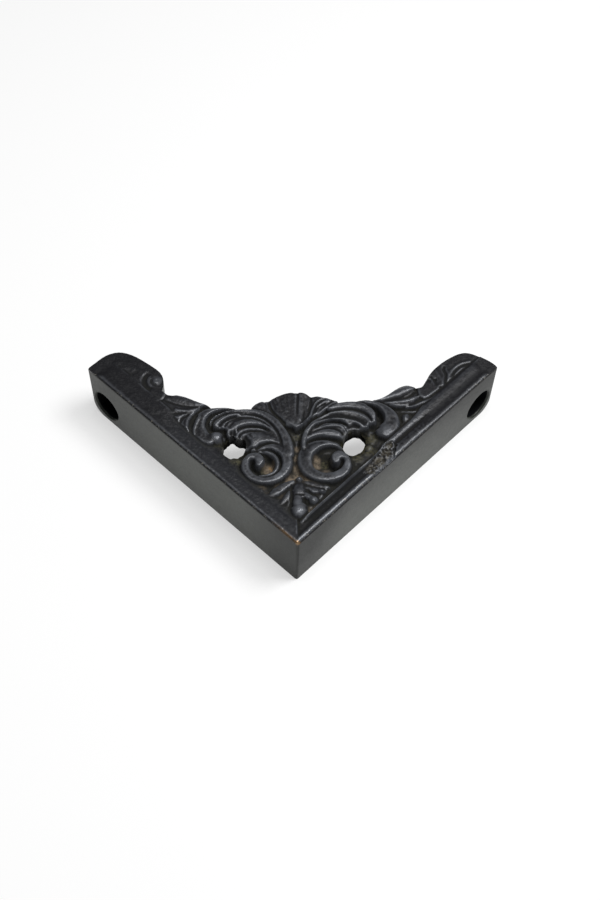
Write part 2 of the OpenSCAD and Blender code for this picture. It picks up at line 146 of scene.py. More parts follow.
def curve_through(points, steps=6):
    """A smooth curve through given points."""
    p = np.array(points, float)
    p = np.vstack([p[:1], p, p[-1:]])
    t = (np.arange(steps) / steps)[:, None]
    parts = [b + t / 2 * (c - a) + t * t / 2 * (2 * a - 5 * b + 4 * c - d)
             + t ** 3 / 2 * (3 * b - a - 3 * c + d)
             for a, b, c, d in zip(p, p[1:], p[2:], p[3:])]
    return np.vstack(parts + [p[-1:]])


def measure_to(line, x, y):
    """Distance of each point from a line, its side (+1 on the left) and its share along."""
    a, ab = line[:-1], np.diff(line, axis=0)
    length = (ab ** 2).sum(1) + 1e-12
    px, py = x[:, None] - a[:, 0], y[:, None] - a[:, 1]
    t = np.clip((px * ab[:, 0] + py * ab[:, 1]) / length, 0, 1)
    dx, dy = px - t * ab[:, 0], py - t * ab[:, 1]
    gap = dx * dx + dy * dy
    i = gap.argmin(1)
    row = np.arange(len(x))
    side = np.where(ab[i, 0] * dy[row, i] - ab[i, 1] * dx[row, i] >= 0, 1.0, -1.0)
    return np.sqrt(gap[row, i]), side, (i + t[row, i]) / len(ab)


def inside(line, x, y):
    """Whether each point lies inside a closed line."""
    odd = np.zeros(len(x), bool)
    for (ax, ay), (bx, by) in zip(line, np.roll(line, -1, 0)):
        if ay != by:
            cross = (ay > y) != (by > y)
            odd ^= cross & (x < (bx - ax) * (y - ay) / (by - ay) + ax)
    return odd


def spread(values, share):
    """Values set evenly along a stroke, read at a share of its length."""
    values = np.atleast_1d(np.array(values, float))
    return np.interp(share * (len(values) - 1), np.arange(len(values)), values)


def ease(t):
    """A soft step from 0 to 1."""
    t = np.clip(t, 0, 1)
    return t * t * (3 - 2 * t)


LATTICE = 256     # random values each way, before a mottle repeats


def mottle(x, y, size, seed):
    """Smooth random lumps of about the given size in mm, from -1 to 1."""
    lattice = np.random.default_rng(seed).uniform(-1, 1, (LATTICE, LATTICE))
    u, v = x / size + 131.7, y / size + 77.3
    i, j = np.floor(u).astype(int), np.floor(v).astype(int)
    s, t = ease(u - i), ease(v - j)
    i, j = i % (LATTICE - 1), j % (LATTICE - 1)
    near = lattice[i, j] * (1 - s) + lattice[i + 1, j] * s
    far = lattice[i, j + 1] * (1 - s) + lattice[i + 1, j + 1] * s
    return near * (1 - t) + far * t


def band(values, start, rise, end, fall):
    """1 from a start to an end, easing in over the rise and out over the fall."""
    return ease((values - start) / rise) * ease((end - values) / fall)


def near_line(x, y, line, reach):
    """Indices of the points near a line, to work only those."""
    low, high = line.min(0) - reach, line.max(0) + reach
    return np.flatnonzero((x > low[0]) & (x < high[0]) & (y > low[1]) & (y < high[1]))


# A stroke's wall leans out over its run and its foot spreads a little, in mm, so that the grid
# can draw a smooth wall. Where a stroke has no material it lies well under the ground.
WALL_RUN = 0.6
WALL_FOOT = 0.12
NOTHING = 5


class Relief:
    """The top of the casting as a height over each point, worked like wax."""

    def __init__(self, x, y, ground):
        self.x, self.y = x, y
        self.ground = ground
        self.z = np.full(len(x), float(ground))

    def near(self, line, reach):
        """Indices of the points near a line."""
        return near_line(self.x, self.y, line, reach)

    def raise_to(self, i, z, soft=0.3):
        """Puts material on up to height z, with a small fillet where it meets the rest."""
        gap = np.abs(self.z[i] - z)
        self.z[i] = np.maximum(self.z[i], z) + soft / 4 * np.clip(1 - gap / soft, 0, 1) ** 2

    def ridge(self, points, widths, heights, lean=0, crown=0.8, full=2.0, tilt=0, soft=0.3, steps=6):
        """A rounded stroke, with its widths and heights spread along it. Lean moves its crest to
        the left, full makes its top flatter, a smaller crown makes its shoulders squarer, tilt
        raises its left side over its right, and soft is the fillet where it meets the rest."""
        line = curve_through(points, steps)
        i = self.near(line, max(widths) / 2 + 0.3)
        gap, side, share = measure_to(line, self.x[i], self.y[i])
        half = spread(widths, share) / 2 + WALL_FOOT
        s = gap * side / half
        c = spread(lean, share)
        s = np.where(s > c, (s - c) / (1 - c), (s - c) / (1 + c))
        body = np.clip(1 - np.abs(s) ** full, 0, 1) ** crown * (1 - 0.08 * s * s)
        body = np.minimum(body, (half - gap) / np.minimum(WALL_RUN, half))
        height = spread(heights, share) * (1 + spread(tilt, share) * np.clip(gap * side / half, -1, 1))
        z = np.where(body > 0, self.ground + height * body, self.ground - NOTHING)
        self.raise_to(i, z, soft)

    def groove(self, points, width, depth, steps=6):
        """A cut with a rounded bottom, fading at both ends."""
        line = curve_through(points, steps)
        i = self.near(line, width)
        gap, _, share = measure_to(line, self.x[i], self.y[i])
        fade = ease(share / 0.18) * ease((1 - share) / 0.18)
        cut = np.clip(1 - (gap / (width / 2)) ** 2, 0, 1) ** 0.8
        self.z[i] -= depth * cut * fade

    def crest(self, points, width, height, steps=6):
        """A sharp raised line on top of what is there, fading at both ends."""
        line = curve_through(points, steps)
        i = self.near(line, width)
        gap, _, share = measure_to(line, self.x[i], self.y[i])
        fade = ease(share / 0.2) * ease((1 - share) / 0.12)
        self.z[i] += height * np.clip(1 - gap / (width / 2), 0, 1) ** 1.2 * fade

    def bed(self, points, height, edge=0.9):
        """A low pad under a group of strokes."""
        line = curve_through(points, 4)
        i = self.near(line, 1)
        closed = np.vstack([line, line[:1]])
        gap, _, _ = measure_to(closed, self.x[i], self.y[i])
        gap = np.where(inside(line, self.x[i], self.y[i]), gap, -1)
        self.raise_to(i, self.ground - 0.2 + (height + 0.2) * ease(gap / edge))

    def boss(self, centre, radius, height, crown=0.6, squash=(1, 1)):
        """A round button, or an oval one where it is squashed."""
        c = np.array([centre], float)
        i = self.near(c, radius * max(squash) + 0.3)
        gap = np.hypot((self.x[i] - c[0, 0]) / squash[0], (self.y[i] - c[0, 1]) / squash[1])
        body = np.clip(1 - (gap / radius) ** 2, 0, 1) ** crown
        body = np.minimum(body, (radius - gap) / WALL_RUN)
        self.raise_to(i, np.where(body > 0, self.ground + height * body, self.ground - NOTHING))

    def pit(self, centre, radius, depth):
        """A round hollow with a soft edge."""
        c = np.array([centre], float)
        i = self.near(c, radius)
        gap = np.hypot(self.x[i] - c[0, 0], self.y[i] - c[0, 1])
        self.z[i] -= depth * ease(1.4 * (1 - gap / radius))


# ---------------------------------------------------------------- outline

# The free edge, from the tip of the right ear to the tip of the left one.
EAR_EDGE_RIGHT = [[70.4, 71.4], [68.4, 73.5], [64, 76.3], [60.4, 77.5], [56.6, 76.4],
                  [51.5, 72.9], [47.6, 68.8], [45.4, 65], [43.9, 62.5], [42.4, 62]]
LEAF_EDGE_RIGHT = [[42.4, 62], [40.4, 62.9], [38.6, 63.4], [35.8, 62.4], [32, 59],
                   [28, 57], [22, 56.5], [16, 56.1]]
SHELL_EDGE = [[16, 56.1], [14.2, 57.2], [11, 58.4], [8.2, 58.9], [5.8, 58.5],
              [4.2, 59.5], [2.2, 60], [0.2, 59.6], [-1.2, 59.9], [-4, 59.2],
              [-8, 57.4], [-12, 56], [-15, 53.8]]
LEAF_EDGE_LEFT = [[-15, 53.8], [-20, 53.7], [-26, 54.2], [-32, 56], [-37, 58.6],
                  [-39.4, 59.5], [-41.4, 59.2], [-43.4, 59.7], [-44.9, 61]]
EAR_EDGE_LEFT = [[-44.9, 61], [-44.6, 65], [-46, 69], [-51, 73.4], [-56.2, 76.9],
                 [-60.8, FREE_EDGE_TOP], [-65, 76.7], [-68.4, 73.5], [-70.4, 71.4]]
FREE_EDGE = np.vstack([curve_through(edge, 3) for edge in
                       (EAR_EDGE_RIGHT, LEAF_EDGE_RIGHT, SHELL_EDGE, LEAF_EDGE_LEFT, EAR_EDGE_LEFT)])

# The two piercings.
RIGHT_GAP = [[15.8, 38.4], [16.4, 42.4], [19.8, 45.2], [23.2, 43.4], [22.9, 39],
             [20.6, 36.6], [18.4, 36.1], [16.8, 36.8]]
LEFT_GAP = [[-24.4, 37.2], [-23.4, 40.8], [-21, 42.7], [-18.6, 41.2], [-16.4, 40.6],
            [-16.4, 37.4], [-18.8, 35.4], [-21.2, 34], [-23.4, 35]]


def outline():
    """The plan of the casting, anticlockwise from the corner."""
    turn = np.radians(np.linspace(225, 315, 7))
    corner = np.stack([CORNER_RADIUS * np.cos(turn),
                       CORNER_RADIUS * (math.sqrt(2) + np.sin(turn))], 1)
    tip = LEG / math.sqrt(2)
    return np.vstack([corner, [[tip, tip]], FREE_EDGE, [[-tip, tip]]])


def ragged(points, seed, wander=0.22):
    """A closed line with the uneven edge that a cast opening has."""
    line = curve_through(list(points) + [points[0]], 6)[:-1]
    away = line - line.mean(0)
    away /= np.hypot(*away.T)[:, None]
    push = mottle(line[:, 0], line[:, 1], 0.9, seed) * wander * 1.4
    return line + away * push[:, None]


# ---------------------------------------------------------------- carving

def carve_right_scroll(r):
    """Right volute: a broad dished band, high at its inner rim, that curls in to a comma-shaped eye."""
    r.pit((9.4, 32.6), 4.6, 1.5)
    r.ridge([[15, 38.2], [12, 39.4], [8.4, 39.2], [5, 37.4], [3.2, 34.6], [3, 31], [4.6, 27.8],
             [7.8, 25.9], [11.4, 25.7], [14.5, 26.9], [16.3, 29], [16.7, 31.4], [15.9, 33.6],
             [14.3, 34.4], [13.3, 33.4], [13.2, 32.4]],
            [1.8, 2.9, 3.9, 5, 5.4, 5.2, 4.8, 4.4, 4.2, 4.1, 3.7, 3.4, 3.4, 4, 4.3, 3.8],
            [1.7, 2.1, 2.35, 2.4, 2.4, 2.45, 2.5, 2.6, 2.7, 2.75, 2.8, 2.85, 2.85, 2.85, 2.85, 2.75],
            crown=0.5, full=6,
            tilt=[0.08, 0.1, 0.14, 0.15, 0.14, 0.12, 0.08, 0.02, -0.03, -0.04, -0.03, 0, 0, 0, 0, 0])
    r.groove([[10.8, 30], [12.8, 29.9], [14.4, 30.4], [15.3, 31.5], [15.2, 33]], 1.2, 1.8)
    r.groove([[12.2, 29], [14, 29.4], [15.2, 30.6]], 1, 0.5)
    r.groove([[2, 37.8], [4.3, 39.9], [7.8, 40.9], [11.2, 40.7], [14, 39.4]], 0.8, 0.9)
    r.crest([[3.2, 37.8], [6, 39.6], [9.4, 39.9], [12, 39.2]], 0.9, 0.15)
    r.crest([[13.2, 38.4], [10.4, 38.1], [7.8, 37.1], [6, 35.2], [5.2, 32.8], [5.4, 30.8]], 1, 0.2)


def carve_left_scroll(r):
    """Left volute: the same scroll, with a second ring inside the band."""
    r.pit((-9, 31.2), 4.4, 1.5)
    r.ridge([[-13, 36], [-9.8, 36], [-7.1, 34.4], [-5.9, 31.5], [-6.6, 28.6], [-9, 26.9], [-12.2, 26.8]],
            [1, 1.8, 2.2, 2.3, 2.3, 2, 1.2], [1.6, 2, 2.1, 2.1, 2, 1.8, 1.4], crown=0.6)
    r.ridge([[-14.4, 37], [-11, 37.6], [-7.2, 37.6], [-3.9, 35.5], [-2.8, 31.4], [-4, 27.6], [-7, 25],
             [-10.8, 24.3], [-14.2, 25.6], [-16.4, 28.6], [-16.4, 31.4], [-15, 33.6], [-13.2, 34],
             [-12.1, 33], [-11.9, 31.8], [-12.2, 30.8]],
            [1.6, 2.5, 3.5, 4.2, 4.1, 3.8, 3.5, 3.3, 3.4, 3.5, 3.4, 3.4, 3.6, 3.9, 3.9, 3],
            [1.4, 2, 2.5, 2.7, 2.8, 2.85, 2.8, 2.75, 2.7, 2.75, 2.75, 2.8, 2.85, 2.9, 2.9, 2.8],
            crown=0.5, full=5)
    r.groove([[-14.5, 33], [-14.7, 31.2], [-14.2, 29.4], [-12.8, 28.4], [-11, 28.6]], 1.2, 1.8)
    r.groove([[-13.6, 36.6], [-11, 38.6], [-8, 39.6], [-5.2, 38.6]], 0.9, 0.9)
    r.groove([[-12.4, 35], [-9.6, 36.9], [-6.4, 35.4], [-5, 32], [-5.8, 28], [-8.8, 26], [-12.4, 25.9]],
             0.7, 0.7)


def carve_right_leaves(r):
    """Right acanthus: one raised sheet, gouged into flutes that curl over to the piercing."""
    r.bed([[2, 37.2], [2.7, 42], [4.7, 46.2], [8, 49.6], [11.2, 52.4], [14.6, 55.8], [20, 56.8],
           [24.4, 55.6], [26.8, 53.4], [27.7, 51], [27.5, 48.8], [26, 46.6], [24.1, 45], [21.8, 44.5],
           [18.8, 44.3], [17.5, 42.6], [15.8, 40.8], [12, 41.3], [8, 41.6], [4.6, 40.2], [3.2, 37.2]],
          2.3, 0.6)
    # Spine.
    r.ridge([[2.6, 37.4], [2.9, 41.4], [4.4, 45.2], [7.2, 48.4], [10.4, 50.8]],
            [2.2, 2.6, 2.6, 2.2, 1.4], [2.7, 2.8, 2.8, 2.7, 2.5], crown=0.5, full=6)
    # Lobe over the volute, and the double crest above it.
    r.ridge([[3.8, 41.4], [6.6, 43], [10, 43.7], [13.2, 43.3], [15.8, 41.6]],
            [1.4, 2.4, 2.9, 2.9, 2], [2.3, 2.55, 2.65, 2.6, 2.2], crown=0.5, full=5)
    r.ridge([[7.2, 43.9], [9.5, 45.7], [12.7, 46.4], [15.5, 45.8], [17.3, 43.6]],
            [1, 1.7, 2, 2, 1.6], [2.4, 2.75, 2.9, 2.9, 2.5], lean=-0.3)
    # Flutes: broad gouge cuts that leave a sharp crest on either side.
    r.groove([[6, 47.2], [9.8, 49.6], [14.4, 50.3], [19.2, 49.4], [22.4, 47.8], [24.4, 45.4]], 2.6, 0.55)
    r.crest([[4, 43.4], [6.3, 46.4], [9.6, 48.3], [14.4, 48.9], [17.9, 48.6], [20.7, 47.6], [23.4, 45.5]],
            1.8, 0.65)
    r.crest([[9.6, 50.6], [13.6, 51.8], [17.4, 52.1], [21.2, 51.1], [24.3, 49], [25.7, 46.6]], 1.3, 0.4)
    r.crest([[9, 46.6], [12.4, 47.2], [15.4, 46.8], [17.6, 45]], 0.8, 0.3)
    r.groove([[17, 45.4], [19.6, 46.4], [22, 45.6]], 1.6, 0.5)
    # Top lobe, with its scalloped end.
    r.ridge([[11.4, 53.3], [15, 54.8], [19.6, 55.1], [23.4, 53.9], [25.9, 51.3], [26.5, 48.2]],
            [1.6, 2.8, 3.2, 3.5, 3.3, 2.2], [2.5, 2.75, 2.85, 2.9, 2.85, 2.4], crown=0.5, full=6)
    for x, y in ((27.9, 52.2), (28.2, 49.8)):
        r.pit((x, y), 0.9, 0.9)
    r.groove([[13, 54], [17, 54.7], [20.8, 54.2], [24, 52.2], [25.2, 49.8]], 0.6, 0.2)
    r.groove([[13.6, 55.2], [18, 55.9], [22, 55.2], [25.2, 53.2]], 0.5, 0.15)
    # Smooth outer leaf with its rounded end.
    r.ridge([[19, 57.4], [23, 56.6], [27.6, 55.2], [30.4, 53.2], [32.2, 50.4], [32.4, 47.6], [31.4, 45.2],
             [30.4, 43.8]], [1.2, 2, 3, 4.4, 5.6, 6.2, 6.8, 5.4],
            [2.2, 2.5, 2.65, 2.75, 2.75, 2.7, 2.7, 2.6], crown=0.5, full=6,
            tilt=[0, 0, -0.05, -0.1, -0.12, -0.1, -0.05, 0])
    r.boss((30.3, 44.4), 3.2, 2.8, 0.4, (1.15, 1))
    r.ridge([[30.4, 43], [30.4, 41.4]], [2.4, 1], [2.6, 2], crown=0.6)
    # Dark cuts.
    r.groove([[24, 54.9], [27.2, 53.9], [28.9, 52], [29.5, 49.6], [29, 47.1]], 1.5, 1.4)
    r.groove([[6.4, 45.2], [9, 47.4], [12, 47.95], [15.2, 47.7], [18.2, 46]], 1.1, 1.7)
    r.groove([[10.6, 47.9], [13, 48], [15.6, 47.5]], 1.3, 0.7)
    r.groove([[9.8, 51.5], [14, 52.8], [18.4, 53.1], [22.4, 52], [25, 49.8], [26, 47.4]], 0.8, 0.8)
    r.groove([[1, 36.6], [1.3, 40.4], [2.6, 44.2], [5, 47.8], [8.2, 50.8], [11.6, 53.6]], 0.8, 1.1)
    r.groove([[5.6, 43.2], [8.6, 44.8], [12, 45.1], [14.8, 44], [16.2, 42.4]], 0.8, 0.7)
    r.groove([[24.4, 46.8], [26.4, 45.8], [28.4, 46.2]], 1.7, 1.2)
    r.boss((24.3, 38.2), 1.5, 1, 0.7)


def carve_left_leaves(r):
    """Left acanthus: a broad smooth spine, finer strands, and an outer leaf that ends in a ball."""
    r.bed([[-0.8, 36], [-1.1, 39.4], [-2.9, 44.2], [-6, 49.4], [-9.4, 52.2], [-13.2, 53.7], [-21, 53.7],
           [-25.8, 51.8], [-28.2, 49.8], [-28.9, 47.6], [-27.6, 45.4], [-25.6, 45], [-23.4, 44.8],
           [-22.9, 42.2], [-20.6, 41.6], [-18.4, 40.4], [-17, 38.2], [-15.4, 37.2], [-12.6, 37.6],
           [-10, 39.8], [-7, 39], [-4.6, 36.4]], 2.3, 0.6)
    # Spine.
    r.ridge([[-2.6, 35], [-2.7, 38.6], [-3.6, 42.2], [-5.6, 46.2], [-8.6, 49.7], [-12.2, 51.9],
             [-16.6, 52.7], [-21, 52.4]], [4.6, 4.5, 4.2, 3.8, 3.2, 2.6, 2, 1.1],
            [2.75, 2.75, 2.75, 2.75, 2.75, 2.7, 2.6, 2.5], crown=0.5, full=6)
    # Thumb-shaped lobe over the volute.
    r.ridge([[-6, 39.8], [-8.8, 41.1], [-11.8, 41.3], [-14.4, 40.5], [-16.2, 38.8]],
            [2.2, 3.9, 5.6, 6, 4.4], [2.3, 2.6, 2.75, 2.75, 2.2], crown=0.5, full=5)
    r.ridge([[-10.5, 44.6], [-13.2, 45.1], [-16.6, 44.5], [-18.6, 42.8]], [0.6, 1, 1.1, 0.9],
            [2.4, 2.75, 2.8, 2.4])
    # Broad strand, fluted at its free end.
    r.ridge([[-6.4, 43], [-9, 45.6], [-12.6, 47.5], [-16.4, 47.8], [-19.6, 46.6], [-21.8, 43.8]],
            [1, 1.8, 2.4, 2.9, 3.4, 2.8], [2.4, 2.7, 2.8, 2.8, 2.8, 2.3], crown=0.5, full=4.6)
    for x, y in ((-18.6, 46), (-19.9, 45.2), (-21, 44.2)):
        r.groove([[x, y], [x - 0.5, y - 1.2], [x - 0.3, y - 2.6]], 0.6, 0.4)
    r.crest([[-5.6, 42], [-8.2, 46.1], [-12.2, 49.1], [-16.4, 50.1], [-20.4, 49.2], [-23, 46.4]], 1.2, 0.35)
    # Feather.
    r.crest([[-27, 45.4], [-25.8, 47.6], [-24, 49.2], [-21.4, 50.4], [-18, 51]], 2.2, 0.7)
    r.crest([[-28.6, 45.8], [-28.9, 48], [-27.9, 49.9], [-25.6, 51.6], [-22, 52.6]], 1.3, 0.5)
    # Smooth outer leaf and its ball.
    r.ridge([[-20, 54], [-25, 53.6], [-28.6, 52.6], [-30.8, 50.9], [-32, 48.2], [-32.1, 45.2],
             [-30.9, 42.4], [-28.6, 41]], [1, 1.8, 3.2, 4.4, 5.2, 5.6, 5.8, 5],
            [2.3, 2.45, 2.5, 2.5, 2.45, 2.4, 2.4, 2.4], crown=0.5, full=5,
            tilt=[0, 0.05, 0.1, 0.14, 0.16, 0.14, 0.1, 0])
    r.boss((-26.3, 41.9), 2.8, 2.97, 0.5, (1.1, 1))
    # Dark cuts.
    r.groove([[-22, 51.9], [-24.6, 50.9], [-27, 49], [-27.9, 47.2], [-27.2, 45.2]], 1.1, 1.4)
    r.groove([[-29.7, 44.6], [-30, 47.4], [-29.6, 49.6], [-28, 51.4], [-25, 52.7]], 0.7, 0.7)
    r.groove([[-4.6, 37.4], [-4.9, 40.7], [-6.2, 44.2], [-9, 48], [-13, 50.5], [-17.6, 51.2]], 0.7, 0.7)
    r.groove([[-24, 45], [-22.4, 47.8], [-19, 49.6], [-15, 49.6], [-11.2, 48.2], [-8, 45.4]], 0.8, 0.8)
    r.groove([[-19, 50.4], [-21.8, 49.5], [-24, 47.9], [-25.4, 45.6]], 0.8, 0.9)
    r.groove([[-19.4, 44.4], [-17.4, 45.7], [-14.6, 46.1], [-11, 45.6], [-8.4, 44]], 0.9, 1.4)
    r.groove([[-19, 41.4], [-18.2, 43], [-16.2, 44], [-13.5, 44.2], [-10, 43.9]], 0.7, 1.1)
    r.groove([[-20.8, 41.2], [-19.2, 39.6], [-17, 38]], 1.2, 0.8)
    r.groove([[-23.3, 44.4], [-24.2, 42.2], [-23.6, 40]], 1, 0.9)
    r.groove([[-0.3, 36.6], [-0.7, 40.4], [-2.3, 44.4], [-5, 48.4], [-8, 51.4], [-11, 53.4]], 0.8, 1)
    for x, y in ((-12.6, 41), (-14.2, 40.8), (-15.6, 40)):
        r.groove([[x, y], [x - 0.8, y + 1.4], [x - 1, y + 2.6]], 0.6, 0.25)


def carve_shell(r):
    """Shell between the leaves: a broad smooth body, a centre cut and a rolled right rib."""
    r.bed([[0.4, 44.8], [3.8, 47.4], [7, 50], [12, 54], [15.6, 56.6], [11, 59], [2, 60.8], [-8, 58.2],
           [-15.6, 54.4], [-9.4, 50.6], [-4.4, 46.8]], 1.9)
    # The body is one plate, very slightly dished about its centre cut.
    r.ridge([[0.4, 45.4], [0, 48], [-1, 51.4], [-1.6, 55.4], [-1.8, 62]], [1.2, 5.6, 9.4, 12.4, 15.4],
            [2.3, 2.5, 2.55, 2.6, 2.6], crown=0.3, full=5, tilt=[0, -0.03, -0.05, -0.04, -0.02])
    r.ridge([[-9, 52.2], [-10.8, 53.9], [-12.8, 56.2]], [2, 4.2, 5.4], [2, 2.35, 2.3], crown=0.5, full=4.2)
    r.ridge([[0.2, 45.4], [3, 47.5], [5, 50.1], [5.9, 53], [7.2, 55.8], [9, 57.5], [11.4, 58]],
            [1, 1.5, 1.6, 1.4, 1.2, 1.1, 0.9], [2.6, 3, 3, 2.95, 2.9, 2.8, 2.6], lean=-0.35)
    r.ridge([[6.8, 51.8], [8.2, 54.4], [11.4, 56.8]], [1, 2, 2.6], [2, 2.35, 2.4], crown=0.5, full=4.2)
    r.ridge([[7.8, 51], [10.6, 53.9], [14.2, 56.3]], [0.9, 1.8, 1.8], [2, 2.5, 2.55])
    r.groove([[0.7, 50], [0.9, 54.4], [1.1, 57.4], [1.2, 61]], 0.7, 0.5)
    r.groove([[4.6, 52], [5.3, 55.2], [5.7, 59]], 0.7, 0.5)
    r.groove([[6.7, 51.9], [8.1, 54.2], [10.9, 56]], 0.6, 0.7)
    r.groove([[-2.6, 46.6], [-5.6, 50], [-8, 53.4], [-9, 57.6]], 0.9, 0.9)
    r.groove([[-0.8, 44.4], [1.2, 44.8], [3.8, 46.8], [6, 49.4]], 0.8, 1.1)
    for x, y, sway in ((-2.2, 52.5, -0.5), (-3.9, 53.2, -1.1), (2.9, 53.2, 0.4), (-5.4, 54.4, -1.2)):
        r.groove([[x, y], [x + sway, y + 3], [x + sway * 1.4, y + 6.5]], 0.6, 0.14)


def carve_bud(r):
    """Hanging bud in the corner, with its side leaves and small berries."""
    r.bed([[-9.6, 18.4], [-7, 21.8], [-3.4, 24.8], [0.7, 26], [4, 25.6], [10.8, 23.4], [9.6, 19.6],
           [6.8, 15.4], [3, 12.4], [-2.6, 12.8], [-5.4, 14.4], [-7.4, 16.8]], 1.1, 0.9)
    r.ridge([[-1.2, 24.2], [-4.1, 22.2], [-6.7, 20.2], [-9.2, 18.9]], [2.6, 4.2, 4.2, 2.2],
            [1.6, 1.9, 1.9, 1.4], crown=0.6, full=3)
    r.ridge([[-1.6, 20.8], [-3.2, 18.3], [-5, 15.9]], [2, 3.2, 2], [1.5, 1.7, 1.3], crown=0.6, full=3)
    r.ridge([[-2.3, 17], [-3.3, 14.6]], [1.4, 1.6], [1.4, 1.2], crown=0.6)
    r.ridge([[2.6, 24.2], [5, 23.6], [7.6, 22.7], [10.6, 22.4]], [1.6, 2.6, 2.4, 1.2],
            [1.3, 1.5, 1.4, 1.2], crown=0.4, full=4)
    r.ridge([[2.8, 22], [5, 21.2], [7, 20.7], [9, 20.5]], [1.8, 2.8, 2.4, 1.4], [1.4, 1.5, 1.7, 1.6],
            crown=0.5, full=4)
    r.boss((8.1, 20.5), 1.1, 2.3, 0.6, (1.3, 1))
    r.ridge([[0.9, 24.6], [0.9, 22.6], [0.9, 20.8], [0.8, 19]], [2.6, 4.4, 5, 4.6], [1.3, 1.9, 2.2, 2.1],
            crown=0.6, full=3)
    r.ridge([[2, 19.6], [3.8, 18.4], [5.3, 17.2]], [2.8, 2.7, 2.8], [1.9, 2.1, 2.2], crown=0.5, full=3)
    r.boss((5.4, 17), 1.9, 2.65, 0.5)
    r.ridge([[0.5, 18.6], [0.35, 17], [0.25, 15.8], [0.6, 14.6], [0.6, 13.2], [0.3, 12.2]],
            [3.6, 4, 4.4, 6.2, 6.8, 5], [2.2, 2.5, 2.65, 2.85, 2.97, 2.7], crown=0.6, full=2)
    r.boss((0.5, 12.9), 3.3, 2.97, 0.7)
    r.boss((0.95, 25.2), 1.5, 2.3, 0.6)
    r.pit((6.1, 16.9), 0.45, 0.45)
    r.groove([[2.4, 17.6], [2.6, 16.2], [3.9, 15.4]], 0.8, 0.8)
    r.groove([[-0.8, 19.2], [0.9, 18.9], [2.6, 19]], 0.7, 0.4)
    r.groove([[-1.5, 23.6], [-1.8, 21], [-1.7, 19], [-1.9, 16.6]], 0.8, 0.6)
    r.groove([[-1.9, 22.6], [-3.8, 20.4], [-5.7, 18.7], [-7.8, 17.6]], 0.8, 0.5)
    r.groove([[3.2, 21.6], [4.6, 19.9], [6.4, 19.1]], 0.7, 0.6)
    r.ridge([[-3.2, 11.8], [-1.9, 9.9], [-0.1, 9], [1.9, 9.3], [3.8, 11.6]], [0.6, 0.8, 0.9, 0.8, 0.6],
            [0.7, 1, 1.1, 1, 0.7])
    r.ridge([[-12.8, 22], [-11.2, 20.8], [-9.6, 19.2]], [1.2, 1.6, 0.8], [1.2, 1.7, 1])


def carve_right_branch(r):
    """Small leaves between the right acanthus and its ear."""
    r.bed([[26, 57.6], [30.4, 55.2], [34, 54], [38, 53.4], [43, 54.8], [47, 58.6], [48, 62], [43, 64],
           [38.6, 65], [33, 62]], 1.7, 0.8)
    r.ridge([[27, 57], [31, 58], [35, 59.8], [38.6, 61.6], [41, 62.2]], [1.6, 3, 4.6, 4.4, 1.8],
            [2.3, 2.5, 2.75, 2.7, 2.2], crown=0.6, full=2.5)
    r.ridge([[30.4, 56], [34, 56.1], [37.6, 56.5], [40.6, 57.7], [42.8, 59]], [0.9, 1.8, 2.4, 2.2, 1],
            [2.2, 2.4, 2.5, 2.4, 2], crown=0.6, full=3)
    r.crest([[31.4, 55.5], [33.5, 55.3], [36.1, 55], [37.8, 55.2], [39.4, 55.9], [41.4, 57.1]], 1, 0.3)
    r.ridge([[38.4, 54.3], [40.8, 54.7], [43.4, 55.9], [46.3, 57.2], [48.4, 58.2]],
            [0.8, 1.7, 1.9, 1.8, 1.2], [1.8, 2.2, 2.35, 2.4, 2.3], crown=0.6, full=3)
    r.ridge([[36.4, 53.2], [38.4, 52.8], [40.3, 52.6], [42, 53.2], [43.6, 54.3]], [0.8, 1.2, 1.4, 1.2, 0.8],
            [0.9, 1.2, 1.4, 1.4, 1.2], crown=0.6)
    r.groove([[37, 57.6], [39.4, 58.8], [41.5, 60.8]], 0.8, 0.8)
    r.groove([[31.7, 54.5], [33.2, 54.2], [35.7, 54.1], [38, 54.4]], 0.8, 0.9)
    r.groove([[38.6, 55.1], [40.6, 55.8], [43, 57.5], [44.8, 58.6]], 0.8, 0.6)
    r.groove([[42, 63], [43.6, 61], [45.6, 59.6], [47.4, 60]], 3.6, 1)
    r.boss((37.6, 50), 2.1, 1.5, 0.7, (0.9, 1.2))
    r.crest([[37, 49], [37.4, 51], [38.6, 52]], 0.8, 0.4)
    r.ridge([[35.4, 47.4], [38.2, 49.2], [41.4, 52]], [0.8, 1, 0.8], [0.7, 0.9, 0.7])


